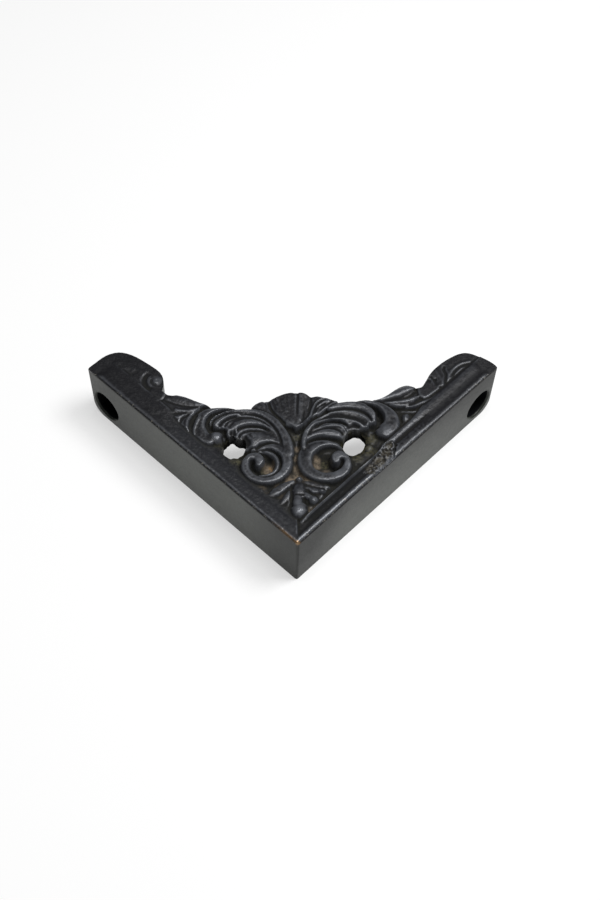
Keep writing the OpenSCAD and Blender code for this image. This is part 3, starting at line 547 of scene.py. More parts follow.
def carve_left_branch(r):
    """Small leaves between the left acanthus and its ear, worn almost level with the band."""
    r.bed([[-26, 56.6], [-30, 54.6], [-32.8, 51.6], [-34.4, 47.6], [-34, 43], [-31.4, 40.4], [-34, 39.4],
           [-37.6, 42], [-42, 46.4], [-47, 51.4], [-51, 56], [-50, 60], [-46, 62.6], [-41, 61],
           [-36, 59.6]], 2.15, 1.2)
    r.ridge([[-27, 55.6], [-32, 55.8], [-37, 57], [-42.6, 58.4]], [1.4, 2.6, 3.6, 3.4],
            [2.2, 2.3, 2.35, 2.2], crown=0.5, full=4)
    r.crest([[-28.6, 53.6], [-33, 53.2], [-36.8, 52.7], [-41, 53.4]], 1.8, 0.35)
    r.crest([[-31.6, 50.8], [-32.8, 48], [-33.7, 45], [-33.8, 41.8]], 1.6, 0.45)
    r.crest([[-34.8, 50.8], [-36, 48.6], [-36.2, 45.4]], 1.5, 0.4)
    r.crest([[-36.4, 51.4], [-39, 50.2], [-41.6, 50.2]], 1.4, 0.35)
    r.groove([[-32.4, 51.8], [-33.8, 48.6], [-34.8, 44.6], [-34.8, 41.6]], 0.8, 0.8)
    r.groove([[-34, 51.6], [-35.2, 48.6], [-35.4, 45]], 0.7, 0.5)
    r.groove([[-35.4, 51.4], [-37.8, 49.4], [-38.8, 46.6]], 0.9, 0.7)
    r.groove([[-36, 52], [-40, 51.6], [-43.4, 51.8]], 0.7, 0.5)
    r.groove([[-30, 54.4], [-35, 54.4], [-40, 55.4], [-44.4, 57.4]], 0.8, 0.4)
    r.pit((-40.4, 48.6), 1.4, 0.4)
    r.pit((-37.4, 44.6), 1.4, 0.5)
    r.ridge([[-31, 41.6], [-29.8, 39.6], [-27.6, 38.4]], [0.8, 1.2, 0.8], [1.1, 1.4, 0.9])


def carve_right_ear(r):
    """Right ear: a curled leaf, a vein and a teardrop beside the plain band."""
    r.bed([[41.4, 58.4], [45, 56.6], [52, 62.2], [58, 68.2], [65.4, 75.4], [66, 80], [50, 82], [40, 72]],
          2.25, 1.4)
    r.crest([[48.6, 70.4], [49.6, 68.4], [50.6, 66.2], [51.2, 64], [51.4, 62.2]], 3, 0.25)
    r.crest([[52.7, 64.6], [53.6, 67.8], [55.6, 70.6], [58.6, 72.8], [62.6, 73.9]], 2.4, 0.22)
    r.crest([[55.4, 67.2], [57.8, 70], [60.8, 71.9]], 1.6, 0.1)
    r.groove([[54.2, 66.4], [56.3, 69.9], [59, 71.9], [61.8, 72.7]], 1.3, 0.35)
    r.groove([[52.6, 72], [52, 70], [52.6, 67.6], [52.1, 65], [51.8, 63]], 1.1, 0.45)
    r.groove([[49.2, 63], [48.4, 65.2], [47, 67.4]], 1.2, 0.3)
    r.pit((48.6, 65.6), 0.7, 0.4)
    r.pit((50.2, 62.4), 0.6, 0.4)
    r.pit((46.4, 65.2), 1, 0.4)


def carve_left_ear(r):
    """Left ear: almost worn flat, with one small curl at its inner end."""
    r.bed([[-42, 60.6], [-44, 56.6], [-48, 55.6], [-52, 58], [-58, 64], [-67, 72.6], [-70, 80], [-50, 82],
           [-40, 72]], 2.5, 1.4)
    r.groove([[-49.4, 69], [-50.9, 67.2], [-51.2, 65], [-50.3, 62.8], [-48.4, 61.4]], 2.2, 0.5)
    r.boss((-47.2, 65.2), 3.2, 2.97, 0.75, (1, 1.1))
    r.groove([[-48.6, 66.4], [-48.8, 65.2], [-48, 64], [-46.8, 63.8]], 0.8, 0.35)
    r.pit((-47, 65.5), 0.8, 0.4)
    r.pit((-62, 65.4), 1.6, 0.18)
    r.pit((-57.4, 68.6), 3, 0.2)
    r.pit((-64, 73), 2.4, 0.16)
    for x, y in ((-60, 72), (-56.6, 66.4), (-54.6, 69.4)):
        r.pit((x, y), 1.2, 0.12)


# ---------------------------------------------------------------- moulding

# How far the moulding lies under the arris, in mm, at distances in from the outer face.
RIGHT_STEPS = [0, 0.15, 0.45, 1, 1.5, 2, 2.5, 3.2, 4, 4.5, 5, 5.3, 5.6, 5.9, 6.2, 6.6]
RIGHT_DROPS = [1.1, 0.7, 0.35, 0.05, 0.08, 0.45, 1, 1.35, 1.4, 1.3, 0.7, 0.15, 0.3, 1.1, 2.2, 3.4]
NEAR_DROPS = [1.1, 0.7, 0.35, 0.05, 0.08, 0.4, 0.85, 1.1, 1.2, 1.35, 1.5, 1.6, 1.7, 1.9, 2.2, 3.4]
FAR_STEPS = [0, 0.15, 0.45, 1, 2, 3, 3.7, 4.1, 4.5, 5, 5.8, 6.4, 6.8, 7.2, 7.6]
FAR_DROPS = [1.1, 0.6, 0.3, 0.05, 0.12, 0.35, 0.75, 1.25, 0.8, 0.35, 0.1, 0.25, 0.7, 1.7, 3.4]
LEFT_STEPS = [0, 0.15, 0.45, 0.8, 1.4, 2.4, 3.6, 4.6, 5.2, 5.8, 6.8, 8.2, 9.6, 11]
LEFT_DROPS = [0.6, 0.3, 0.1, 0.05, 0.16, 0.34, 0.5, 0.7, 0.9, 1.2, 1.55, 2, 2.5, 3.3]
EAR_STEPS = [0, 0.15, 0.45, 1, 1.8, 2.8, 3.8, 4.8, 5.8, 6.6, 7.2, 7.7, 8.2]
RIGHT_EAR_DROPS = [0.6, 0.32, 0.14, 0.06, 0.2, 0.36, 0.4, 0.25, 0.14, 0.22, 0.5, 0.8, 1.1]
LEFT_EAR_DROPS = [0.6, 0.3, 0.1, 0.05, 0.12, 0.2, 0.25, 0.28, 0.3, 0.34, 0.4, 0.46, 0.5]
PAST_MOULDING = 6      # drop further in, which leaves the carving to show

# Outline of the broken length of the right moulding.
BROKEN = [[21.5, 27.6], [24, 26], [28.6, 28.4], [31.4, 31.4], [33.4, 37.6], [31.4, 39.6],
          [28.4, 37], [26, 34], [23.6, 30.4], [21.5, 27.6]]


def from_faces(x, y):
    """Distance in from the nearer outer face, and distance along it from the corner."""
    right = x > 0
    return np.where(right, y - x, y + x) / math.sqrt(2), np.where(right, y + x, y - x) / math.sqrt(2)


def to_ear(along):
    """0 on the open length of a leg, 1 on its ear."""
    return ease((along - 58) / 12)


def to_far_length(along):
    """0 near the corner, 1 on the far length of the right moulding, where its bead grows wide."""
    return ease((along - 43) / 5)


def moulding(x, y, top):
    """Height of the moulding that runs inside both outer faces."""
    right = x > 0
    off, along = from_faces(x, y)
    off = off + 0.12 * mottle(along, off * 0 + 3, 6, 5) * ease(off / 3)
    near, middle, far, left, right_ear, left_ear = (
        np.interp(off, steps, drops, right=PAST_MOULDING) for steps, drops in (
            (RIGHT_STEPS, NEAR_DROPS), (RIGHT_STEPS, RIGHT_DROPS), (FAR_STEPS, FAR_DROPS),
            (LEFT_STEPS, LEFT_DROPS), (EAR_STEPS, RIGHT_EAR_DROPS), (EAR_STEPS, LEFT_EAR_DROPS)))
    begun = ease((along - 5) / 7)
    distant = to_far_length(along)
    drop = np.where(right, (near + (middle - near) * begun) * (1 - distant) + far * distant, left)
    on_ear = to_ear(along)
    drop = drop * (1 - on_ear) + np.where(right, right_ear, left_ear) * on_ear
    return top - drop, off, along


def knock_about(z, x, y, off, along, top):
    """The broken length of the right moulding, and the small dents along both arrises."""
    patch = curve_through(BROKEN, 4)[:-1]
    closed = np.vstack([patch, patch[:1]])
    i = near_line(x, y, patch, 1)
    gap, _, _ = measure_to(closed, x[i], y[i])
    gap = np.where(inside(patch, x[i], y[i]), gap, -gap) + 0.5 * mottle(x[i], y[i], 1.2, 11)
    broken = ease(gap / 0.7 + 0.3)
    rubble = (top - 0.95 + 0.3 * mottle(x[i], y[i], 2.6, 12) - 0.3 * np.abs(mottle(x[i], y[i], 1.4, 13))
              + 0.35 * mottle(x[i], y[i], 0.7, 14) + 0.3 * mottle(x[i], y[i], 0.45, 15))
    z[i] = z[i] * (1 - broken) + np.minimum(z[i] + 0.15, rubble) * broken
    nick = np.clip(mottle(along, off * 0.4, 1.3, 21) - 0.45, 0, 1) * np.clip(1 - off / 1.6, 0, 1)
    z -= 0.5 * nick
    # The ends of the ears are rubbed to one level.
    end = ease((along - LEG + 7) / 4)
    return z * (1 - end) + np.minimum(top - 0.55, np.maximum(z, top - 0.8)) * end


# ---------------------------------------------------------------- whole top

def carved_field(x, y, ground):
    """Height of the carving alone, in mm, over the given points."""
    r = Relief(x, y, ground)
    r.z += 0.2 * mottle(x, y, 3.5, 1) + 0.1 * mottle(x, y, 1.2, 2)
    for work in (carve_right_scroll, carve_left_scroll, carve_right_leaves, carve_left_leaves, carve_shell,
                 carve_bud, carve_right_branch, carve_left_branch, carve_right_ear, carve_left_ear):
        work(r)
    for gap_line in (RIGHT_GAP, LEFT_GAP):
        line = ragged(gap_line, 9)
        i = r.near(line, 2.5)
        gap, _, _ = measure_to(np.vstack([line, line[:1]]), x[i], y[i])
        r.z[i] -= 0.9 * ease(1 - gap / 2.2)
    return r.z


def whole_top(x, y, carving, top, ground):
    """Height of the whole upper side: the carving set inside its mouldings."""
    mould, off, along = moulding(x, y, top)
    on_ear = to_ear(along)
    far = to_far_length(along) * (x > 0)
    edge = 6 + far + (1.4 - far) * on_ear
    foot = ease((off - edge + 0.3) / 0.9)
    low = (ground - 0.2) * (1 - on_ear) + np.where(x > 0, ground + 1.6, ground + 2.4) * on_ear
    carved = np.where(off < edge - 0.3, -1e3, carving * foot + np.minimum(low, carving) * (1 - foot))
    soft = 0.4
    return np.maximum(mould, carved) + soft / 4 * np.clip(1 - np.abs(mould - carved) / soft, 0, 1) ** 2


def surface(z, x, y, top):
    """Dents, breaks and casting grain over the finished forms."""
    off, along = from_faces(x, y)
    z = knock_about(z.copy(), x, y, off, along, top)
    inward = ease(off / 2) * (1 - 0.5 * ease((along - 62) / 12))
    z += inward * (0.05 * mottle(x, y, 1.6, 3) + 0.04 * mottle(x, y, 0.7, 4)) + 0.02 * mottle(x, y, 2.4, 31)
    return np.minimum(z, top)


def soften(field, passes):
    """Blurs a height field by neighbour averages."""
    for _ in range(passes):
        for axis in (0, 1):
            last = field.shape[axis] - 1
            before = np.concatenate([field.take([0], axis), field.take(range(last), axis)], axis)
            after = np.concatenate([field.take(range(1, last + 1), axis), field.take([last], axis)], axis)
            field = (before + 2 * field + after) / 4
    return field


def ease_walls(field, step):
    """Blurs only the steepest slopes, where the grid would show."""
    down, across = np.gradient(field, step)
    share = soften(ease((np.hypot(down, across) - 2.2) / 1.5), 1)
    return field * (1 - share) + soften(field, 3) * share


# ---------------------------------------------------------------- making the casting

def deselect_all():
    """Leaves object mode tidy before a new piece is started."""
    if bpy.context.object and bpy.context.object.mode != "OBJECT":
        bpy.ops.object.mode_set(mode="OBJECT")
    bpy.ops.object.select_all(action="DESELECT")


def make_active(piece):
    """Selects one object alone."""
    deselect_all()
    piece.select_set(True)
    bpy.context.view_layer.objects.active = piece


def prism(name, line, low, high):
    """A straight-sided block over a closed line, from z low to z high in mm."""
    mesh = bpy.data.meshes.new(name)
    mesh.from_pydata([(x * MM, (y - MID_Y) * MM, low * MM) for x, y in line], [], [list(range(len(line)))])
    block = bpy.data.objects.new(name, mesh)
    bpy.context.scene.collection.objects.link(block)
    make_active(block)
    bpy.ops.object.mode_set(mode="EDIT")
    bpy.ops.mesh.select_all(action="SELECT")
    bpy.ops.mesh.extrude_region_move(TRANSFORM_OT_translate={"value": (0, 0, (high - low) * MM)})
    bpy.ops.mesh.select_all(action="SELECT")
    bpy.ops.mesh.normals_make_consistent(inside=False)
    bpy.ops.object.mode_set(mode="OBJECT")
    return block


def cut(piece, tool, how="DIFFERENCE"):
    """Applies one boolean and throws the tool away."""
    make_active(piece)
    step = piece.modifiers.new("cut", "BOOLEAN")
    step.operation = how
    step.solver = "MANIFOLD"
    step.object = tool
    bpy.ops.object.modifier_apply(modifier=step.name)
    bpy.data.objects.remove(tool)


def freeze(piece):
    """Puts an object's place and turn into its mesh."""
    make_active(piece)
    bpy.ops.object.transform_apply(location=True, rotation=True, scale=True)


def mend(piece):
    """Turns the faces of a mirrored tool outwards again."""
    make_active(piece)
    bpy.ops.object.mode_set(mode="EDIT")
    bpy.ops.mesh.select_all(action="SELECT")
    bpy.ops.mesh.normals_make_consistent(inside=False)
    bpy.ops.object.mode_set(mode="OBJECT")
    return piece


def tool_at(place, add_primitive, **size):
    """A primitive, added at its size and put in its place as a cutting tool."""
    deselect_all()
    add_primitive(**size)
    tool = bpy.context.object
    tool.matrix_world = place
    freeze(tool)
    return mend(tool)


def moved(place, spot):
    """A frame moved to a spot in it, in mm."""
    return place @ Matrix.Translation([c * MM for c in spot])


def sized(place, lengths):
    """A frame stretched so that a cube of 1 m gets its lengths in mm."""
    return place @ Matrix.Diagonal([*(length * MM for length in lengths), 1])


def leg_frame(side):
    """Turns x along a leg and y in from its outer face; side is +1 right, -1 left."""
    turn = Matrix.Rotation(math.radians(45), 4, "Z")
    if side < 0:
        turn = Matrix.Scale(-1, 4, (1, 0, 0)) @ turn
    return Matrix.Translation((0, -MID_Y * MM, 0)) @ turn


def bevel_where(piece, test, width, segments=2):
    """Rounds the edges whose two ends pass a test."""
    make_active(piece)
    bpy.ops.object.mode_set(mode="EDIT")
    bpy.ops.mesh.select_all(action="DESELECT")
    work = bmesh.from_edit_mesh(piece.data)
    for edge in work.edges:
        edge.select_set(all(test(v.co) for v in edge.verts))
    bmesh.update_edit_mesh(piece.data)
    bpy.ops.mesh.bevel(offset=width, segments=segments, profile=0.5, clamp_overlap=True)
    bpy.ops.object.mode_set(mode="OBJECT")


def score(piece, cuts):
    """Cuts long flat faces into shorter ones by planes, so that stains and painted shade can change along
    them.
    """
    make_active(piece)
    bpy.ops.object.mode_set(mode="EDIT")
    for normal, point in cuts:
        bpy.ops.mesh.select_all(action="SELECT")
        bpy.ops.mesh.bisect(plane_co=point, plane_no=normal)
    bpy.ops.object.mode_set(mode="OBJECT")


# Where the stains and the painted shade change along the flat sides, in mm: heights and distances along a
# leg for the outer faces, and depths for the walls of the cross holes.
LEVEL_CUTS = (1, 4, 8, 12, 16, 19, 20.5, 21.4)
UPRIGHT_CUTS = (1.2, 2.5, 4, 6, 9, 13, 18, 24, 32, 42, 54, 66, 78, 90)
BORE_CUTS = (0.9, 3, 6, 9)


def side_cuts():
    """Planes across the outer faces: level ones, and upright ones along both legs."""
    corner = Vector((0, -MID_Y * MM, 0))
    cuts = [(Vector((0, 0, 1)), Vector((0, 0, z * MM))) for z in LEVEL_CUTS]
    for side in (1, -1):
        way = Vector((side, 1, 0)).normalized()
        cuts += [(way, corner + way * along * MM) for along in UPRIGHT_CUTS]
    return cuts


# The grid of the carving runs along both legs, in mm, and is cut off past the free edge.
GRID_START = -0.5                      # a little outside the outer faces
GRID_SPAN = LEG + 1
GRID_CUT = 79.5                        # y past which its faces are deleted
GRID_WORKED = 80                       # and up to which its heights are worked out


def vertex_places(mesh):
    """Places of a mesh's vertices, one row each."""
    places = np.zeros(len(mesh.vertices) * 3)
    mesh.vertices.foreach_get("co", places)
    return places.reshape(-1, 3)


def carving_block(sizes):
    """A block whose upper side is the carving: a grid laid along the legs, worked point by point."""
    top = sizes.face_height / MM
    ground = top - sizes.ground_drop / MM
    step = sizes.grid / MM
    count = int(GRID_SPAN / step)
    deselect_all()
    bpy.ops.mesh.primitive_grid_add(x_subdivisions=count, y_subdivisions=count, size=1)
    block = bpy.context.object
    block.name = "carving_block"
    across = vertex_places(block.data)
    along_right = GRID_START + GRID_SPAN * (across[:, 0] + 0.5)
    along_left = GRID_START + GRID_SPAN * (across[:, 1] + 0.5)
    x = (along_right - along_left) / math.sqrt(2)
    y = (along_right + along_left) / math.sqrt(2)
    square = (count + 1, count + 1)
    worked = y < GRID_WORKED
    z = np.full(len(x), ground)
    z[worked] = carved_field(x[worked], y[worked], ground)
    z = soften(z.reshape(square), 1).ravel()
    z[worked] = whole_top(x[worked], y[worked], z[worked], top, ground)
    z = ease_walls(soften(z.reshape(square), 1), step).ravel()
    z[worked] = surface(z[worked], x[worked], y[worked], top)
    block.data.vertices.foreach_set("co", np.stack([x * MM, (y - MID_Y) * MM, z * MM], 1).ravel())
    block.data.update()
    make_active(block)
    bpy.ops.object.mode_set(mode="EDIT")
    work = bmesh.from_edit_mesh(block.data)
    spare = [f for f in work.faces if f.calc_center_median().y > (GRID_CUT - MID_Y) * MM]
    bmesh.ops.delete(work, geom=spare, context="FACES")
    bmesh.update_edit_mesh(block.data)
    bpy.ops.mesh.select_all(action="SELECT")
    bpy.ops.mesh.extrude_region_move(TRANSFORM_OT_translate={"value": (0, 0, -40 * MM)})
    bpy.ops.object.mode_set(mode="OBJECT")
    return mend(block), z.reshape(square)


def cut_hollow(body, sizes):
    """Opens the back between the walls and the ears, up to the panel."""
    wall = sizes.wall / MM
    length = LEG - sizes.ear_length / MM - wall
    roof = panel_back(sizes)
    middle = wall + length / 2
    below = 5                          # the tool starts clear under the back
    inside_y = (60 - MID_Y) * MM       # its far corner is past the free edge, and stays sharp
    place = moved(leg_frame(1), (middle, middle, (roof - below) / 2))
    tool = tool_at(sized(place, (length, length, roof + below)), bpy.ops.mesh.primitive_cube_add, size=1)
    bevel_where(tool, lambda co: co.y < inside_y, 1.2 * MM, 4)
    cut(body, tool)


def cut_cross_hole(body, sizes, leg):
    """Bores one ear, and breaks the edge of the hole."""
    radius = sizes.bore / 2
    upright = Matrix.Rotation(math.radians(90), 4, "X")
    tool = tool_at(moved(leg, (LEG - BORE_IN, 20, BORE_UP)) @ upright, bpy.ops.mesh.primitive_cylinder_add,
                   vertices=72, radius=radius, depth=50 * MM)
    inward = leg.to_3x3() @ Vector((0, 1, 0))
    score(tool, [(inward, leg @ Vector((0, depth * MM, 0))) for depth in BORE_CUTS])
    cut(body, tool)
    cut(body, tool_at(moved(leg, (LEG - BORE_IN, 0.25, BORE_UP)) @ upright.inverted(),
                      bpy.ops.mesh.primitive_cone_add, vertices=72, radius1=radius + 1.0 * MM,
                      radius2=radius - 0.5 * MM, depth=1.5 * MM))


def round_ear(body, leg):
    """Rounds the lower edge at the tip of one ear: a block less a bar takes off what is outside."""
    place = moved(leg, (LEG + 5, 20, EAR_ROUND - 10))
    tool = tool_at(sized(place, (20, 60, 20)), bpy.ops.mesh.primitive_cube_add, size=1)
    place = moved(leg, (LEG - EAR_ROUND, 20, EAR_ROUND)) @ Matrix.Rotation(math.radians(90), 4, "X")
    cut(tool, tool_at(place, bpy.ops.mesh.primitive_cylinder_add,
                      vertices=96, radius=EAR_ROUND * MM, depth=80 * MM))
    cut(body, tool)


def panel_back(sizes):
    """Height of the panel's hidden side, in mm."""
    return (sizes.face_height - sizes.ground_drop - sizes.panel) / MM


def plain_body(sizes):
    """The blank casting: outline, hollow back, piercings, cross holes and rounded ear ends."""
    top = sizes.face_height / MM
    body = prism("casting", outline(), 0, top + 4)
    bevel_where(body, lambda co: co.z < 1e-6, 0.35 * MM, 2)
    score(body, side_cuts())
    cut_hollow(body, sizes)
    for line in (RIGHT_GAP, LEFT_GAP):
        cut(body, prism("gap", ragged(line, 9), -2, top + 6))
    for side in (1, -1):
        leg = leg_frame(side)
        cut_cross_hole(body, sizes, leg)
        round_ear(body, leg)
    return body


# ---------------------------------------------------------------- stains

def read_grid(grid, x, y):
    """Reads a field of the carving's grid at drawing points, between its neighbours."""
    side = grid.shape[0]
    u = ((x + y) / math.sqrt(2) - GRID_START) / GRID_SPAN * (side - 1)
    v = ((y - x) / math.sqrt(2) - GRID_START) / GRID_SPAN * (side - 1)
    u, v = np.clip(u, 0, side - 1.001), np.clip(v, 0, side - 1.001)
    i, j = u.astype(int), v.astype(int)
    s, t = u - i, v - j
    return ((grid[j, i] * (1 - s) + grid[j, i + 1] * s) * (1 - t)
            + (grid[j + 1, i] * (1 - s) + grid[j + 1, i + 1] * s) * t)


def blobs(x, y, spots):
    """Soft patches at given places: each is x, y, radius and strength."""
    out = np.zeros(len(x))
    for px, py, radius, strength in spots:
        gap = np.hypot(x - px, y - py)
        out = np.maximum(out, strength * ease(1.25 * (1 - gap / radius)))
    return out


# Places of the stains and of the painted highlights: x, y and radius in mm, and strength.
SOIL_SPOTS = [(0.8, 26, 3.6, 1), (0.9, 30, 2.8, 1), (0.8, 34, 2.2, 1), (0.6, 38, 1.8, 0.8),
              (3.6, 25.8, 2.6, 1), (5.8, 24.2, 2.2, 0.7), (-2, 25.6, 2.6, 1), (-11.4, 21.8, 2.2, 1),
              (-9.8, 19.4, 1.8, 1), (4.4, 13.6, 2, 0.7), (6.6, 14.8, 1.6, 0.7), (3, 11, 1.4, 0.4),
              (-9, 30.6, 3, 1), (-7.4, 32, 1.8, 0.8), (7, 34, 2, 1), (6.9, 31.8, 2, 1),
              (9.8, 29.4, 2, 0.6), (12.8, 44, 2, 0.3), (7, 20.5, 1.6, 0.4), (-6, 22.6, 1.8, 0.5),
              (-4.4, 18.6, 2, 0.4), (5, 22.4, 2, 0.3)]
OLIVE_SPOTS = [(19.6, 40.6, 6.6, 1), (25.6, 42, 3, 0.9), (24, 37.6, 3.6, 0.9), (20.6, 34.6, 3, 0.8),
               (9.6, 32.6, 2.6, 1), (-20.6, 38.2, 5.6, 0.9), (-19.6, 33, 3, 0.8), (-25.6, 40, 2.6, 0.5),
               (44.6, 61, 4.4, 1), (44, 58, 2.6, 0.6), (47.2, 64, 2.6, 0.8), (0.4, 43, 2.2, 0.8),
               (-10.6, 29.4, 1.8, 0.8), (-34.8, 42.6, 2.6, 0.5), (27, 36, 3, 0.6), (-0.4, 8.4, 2, 0.3),
               (-44.6, 60, 2, 0.8)]
# Painted highlights over polished high spots: the bud, the bands and eyes of the volutes, the balls, the
# left ear's knob and the thumb lobe.
POLISH_AND_HIGHLIGHT_SPOTS = [(0.9, 12.6, 3.4, 1), (0.4, 15.8, 2.4, 0.8), (14, 26.8, 4.4, 0.7), (17, 30, 3, 0.8),
                (-3.6, 29, 3.4, 0.7), (-6, 26, 3, 0.7), (-11, 24.4, 2.6, 0.4), (5.8, 17.2, 1.6, 0.7),
                (30.6, 44, 3.4, 0.6), (-26, 42, 2.6, 0.8), (-46.8, 65.6, 2.4, 0.5), (13.6, 33.6, 2, 0.5),
                (-12, 32, 1.8, 0.6), (6.4, 36.4, 2.4, 0.5), (-12.6, 42, 3, 0.4)]
CRUST_SPOTS = [(24.6, 28.6, 2.8, 0.35), (27.6, 31.6, 3, 0.45), (30, 34.8, 2.8, 0.4), (31, 38, 2, 0.3)]
BARE_SPOTS = [(0, 0.4, 1.3, 0.9), (-8.4, 31.4, 0.9, 0.7), (-7.8, 30.4, 0.7, 0.6), (15.6, 16.6, 0.5, 0.2)]


# How light the outer faces are painted, along each leg and up each face: painted shade toward the corner,
# the ears, the top of the right face and the foot of the left one.
LIGHT_ALONG = ([0, 8, 15, 24, 56, 70, 85, 100], [0.72, 0.74, 0.84, 1, 1, 0.93, 0.85, 0.82])
LIGHT_HEIGHTS = [0, 5, 12, 19, 22]
LIGHT_UP_RIGHT = [0.97, 0.97, 0.87, 0.75, 0.7]
LIGHT_UP_LEFT = [0.93, 0.96, 1, 0.97, 0.95]


def painted_face_shade(off, along, z, right):
    """How much darker the patina of the outer faces is painted, as shade, toward the corner, the ears and
    the right arris.
    """
    level = np.interp(along, *LIGHT_ALONG)
    level *= np.where(right, np.interp(z, LIGHT_HEIGHTS, LIGHT_UP_RIGHT),
                      np.interp(z, LIGHT_HEIGHTS, LIGHT_UP_LEFT))
    return 0.8 * np.clip((1 - level) / 0.36, 0, 1) * ease((1.4 - off) / 1.2)


def shaded_walls(x, y, z, ground):
    """Walls of the cross holes and of the piercings, where shade is painted."""
    off, along = from_faces(x, y)
    from_bore = np.hypot(along - (LEG - BORE_IN), z - BORE_UP)
    walls = np.where((from_bore < 5.9) & (off > 0.8) & (off < 9.5), 1.0, 0.0)
    for gap_line in (RIGHT_GAP, LEFT_GAP):
        line = np.array(gap_line + gap_line[:1], float)
        near = near_line(x, y, line, 1.6)
        near = near[z[near] < ground - 0.05]
        gap, _, _ = measure_to(line, x[near], y[near])
        walls[near] = ease((1.6 - gap) / 0.8)
    return walls


def stain(piece, height, sizes):
    """Writes where the patina is thick, polished, soiled or worn through, and where highlights and shade
    are painted, as attributes of the mesh.
    """
    places = vertex_places(piece.data) / MM
    x, y, z = places[:, 0], places[:, 1] + MID_Y, places[:, 2]
    off, along = from_faces(x, y)
    right = x > 0
    top = sizes.face_height / MM
    ground = top - sizes.ground_drop / MM

    # How far each point stands over its surroundings, taken 0.42, 0.7 and 2.2 mm around it.
    step = sizes.grid / MM
    shape = read_grid(height, x, y)
    thin, crest, rise = (shape - read_grid(soften(height, int(2 * (reach / step) ** 2)), x, y)
                         for reach in (0.42, 0.7, 2.2))
    on_top = ease((z - (shape - 0.3)) / 0.2)

    # Polished, and painted highlight: the crests, chosen high spots and the flat of both mouldings are made
    # lighter, partly as polish and partly as painted highlights; the band along the right arris is mostly
    # painted highlight.
    rub_and_highlight = np.clip(0.4 * thin / 0.05 + 0.35 * crest / 0.25 + 0.2 * rise / 0.6 - 0.1, 0, 1)
    rub_and_highlight = np.maximum(rub_and_highlight * 0.5, blobs(x, y, POLISH_AND_HIGHLIGHT_SPOTS) * ease((z - top + 1.4) / 0.8))
    rub_and_highlight = np.maximum(rub_and_highlight, 0.8 * right * band(off, 0.2, 0.4, 2, 0.8) * ease((62 - along) / 20))
    rub_and_highlight = np.maximum(rub_and_highlight, 0.1 * ~right * band(off, 0.4, 0.6, 9, 4) * ease((70 - along) / 14))

    # Dirt: brown in the ground, olive in every deep place and crusted over the broken length.
    crust = blobs(x, y, CRUST_SPOTS)
    soil = np.maximum(blobs(x, y, SOIL_SPOTS) * ease((ground + 1.6 - z) / 1.2), 0.4 * crust)
    olive = blobs(x, y, OLIVE_SPOTS) * ease((ground + 1.9 - z) / 1.2)
    olive = np.maximum(np.maximum(olive, 0.15 * ease((-rise - 0.15) / 0.5)), crust)

    # Worn through: at the corner, along the left arris near it, and as a glint in the left volute.
    arris = np.exp(-((off - 0.25) / 0.35) ** 2) * ease((z - top + 1.8) / 0.6)
    bare = blobs(x, y, BARE_SPOTS) * np.where(y < 5, ease((z - top + 2.4) / 1.2), 1) * on_top
    bare = np.maximum(bare, 0.45 * arris * ~right * ease((13 - along) / 8))
    # Painted highlight: a band of chipped-metal colour along the right arris, the side that the light falls
    # on.
    bruise_and_highlight = 0.72 * right * band(off, 0.2, 0.4, 2.1, 0.8) * ease((58 - along) / 16) * on_top
    edge = np.maximum(np.maximum(arris, 1.6 * crust * on_top), bruise_and_highlight)

    # Thick patina and painted shade: painted shade over thick patina in the cuts, painted shade on the
    # walls of the holes, and a painted shadow line under the brim of the right arris.
    walls = shaded_walls(x, y, z, ground)
    patina_and_shade = np.clip(-0.8 * thin / 0.05 - 0.4 * crest / 0.25 - 0.6 * rise / 0.8, 0, 1) * on_top
    # A painted shadow line along the top of the right outer face, just under the arris.
    brim_shadow = ease((z - top + 1.5) / 0.3) * np.clip(1 - off / 0.12, 0, 1) * right
    # The hollow back, where shade is painted.
    hollow = ((off > sizes.wall / MM - 0.1) & (along < LEG - sizes.ear_length / MM + 0.25)
              & (z < panel_back(sizes) + 0.2))

    masks = {"rub_and_highlight": rub_and_highlight * on_top, "soil": soil * on_top, "olive": olive * on_top,
             "bare": bare, "edge": edge, "plain": 1 - on_top,
             "patina_and_shade": np.maximum(np.maximum(patina_and_shade, walls), brim_shadow),
             "inner": np.maximum(hollow.astype(float), walls),
             "face_shade": painted_face_shade(off, along, z, right)}
    for name, values in masks.items():
        layer = piece.data.attributes.new(name, "FLOAT", "POINT")
        layer.data.foreach_set("value", values.astype(np.float32))


def shade(piece):
    """Smooth shading, kept crisp where the flat sides meet the worked top."""
    make_active(piece)
    bpy.ops.object.shade_smooth()
    work = bmesh.new()
    work.from_mesh(piece.data)
    for edge in work.edges:
        if len(edge.link_faces) != 2:
            continue
        a, b = edge.link_faces
        angle = edge.calc_face_angle(0)
        flat = (abs(a.normal.z) < 0.02) != (abs(b.normal.z) < 0.02)
        if angle > math.radians(60) or (flat and angle > math.radians(12)):
            edge.smooth = False
    work.to_mesh(piece.data)
    work.free()


# ---------------------------------------------------------------- materials

def add(tree, kind, settings=None, inputs=None):
    """Adds one node with its settings. Each input, by name or in order, is a value, or a node or
    socket to link."""
    node = tree.nodes.new(kind)
    for name, value in (settings or {}).items():
        setattr(node, name, value)
    for key, value in (inputs.items() if isinstance(inputs, dict) else enumerate(inputs or [])):
        socket = node.inputs[key]
        if isinstance(value, bpy.types.Node):
            value = next(output for output in value.outputs if output.enabled)
        if isinstance(value, bpy.types.NodeSocket):
            tree.links.new(value, socket)
        elif socket.type == "RGBA":
            socket.default_value = (*value[:3], 1)
        else:
            socket.default_value = value
    return node


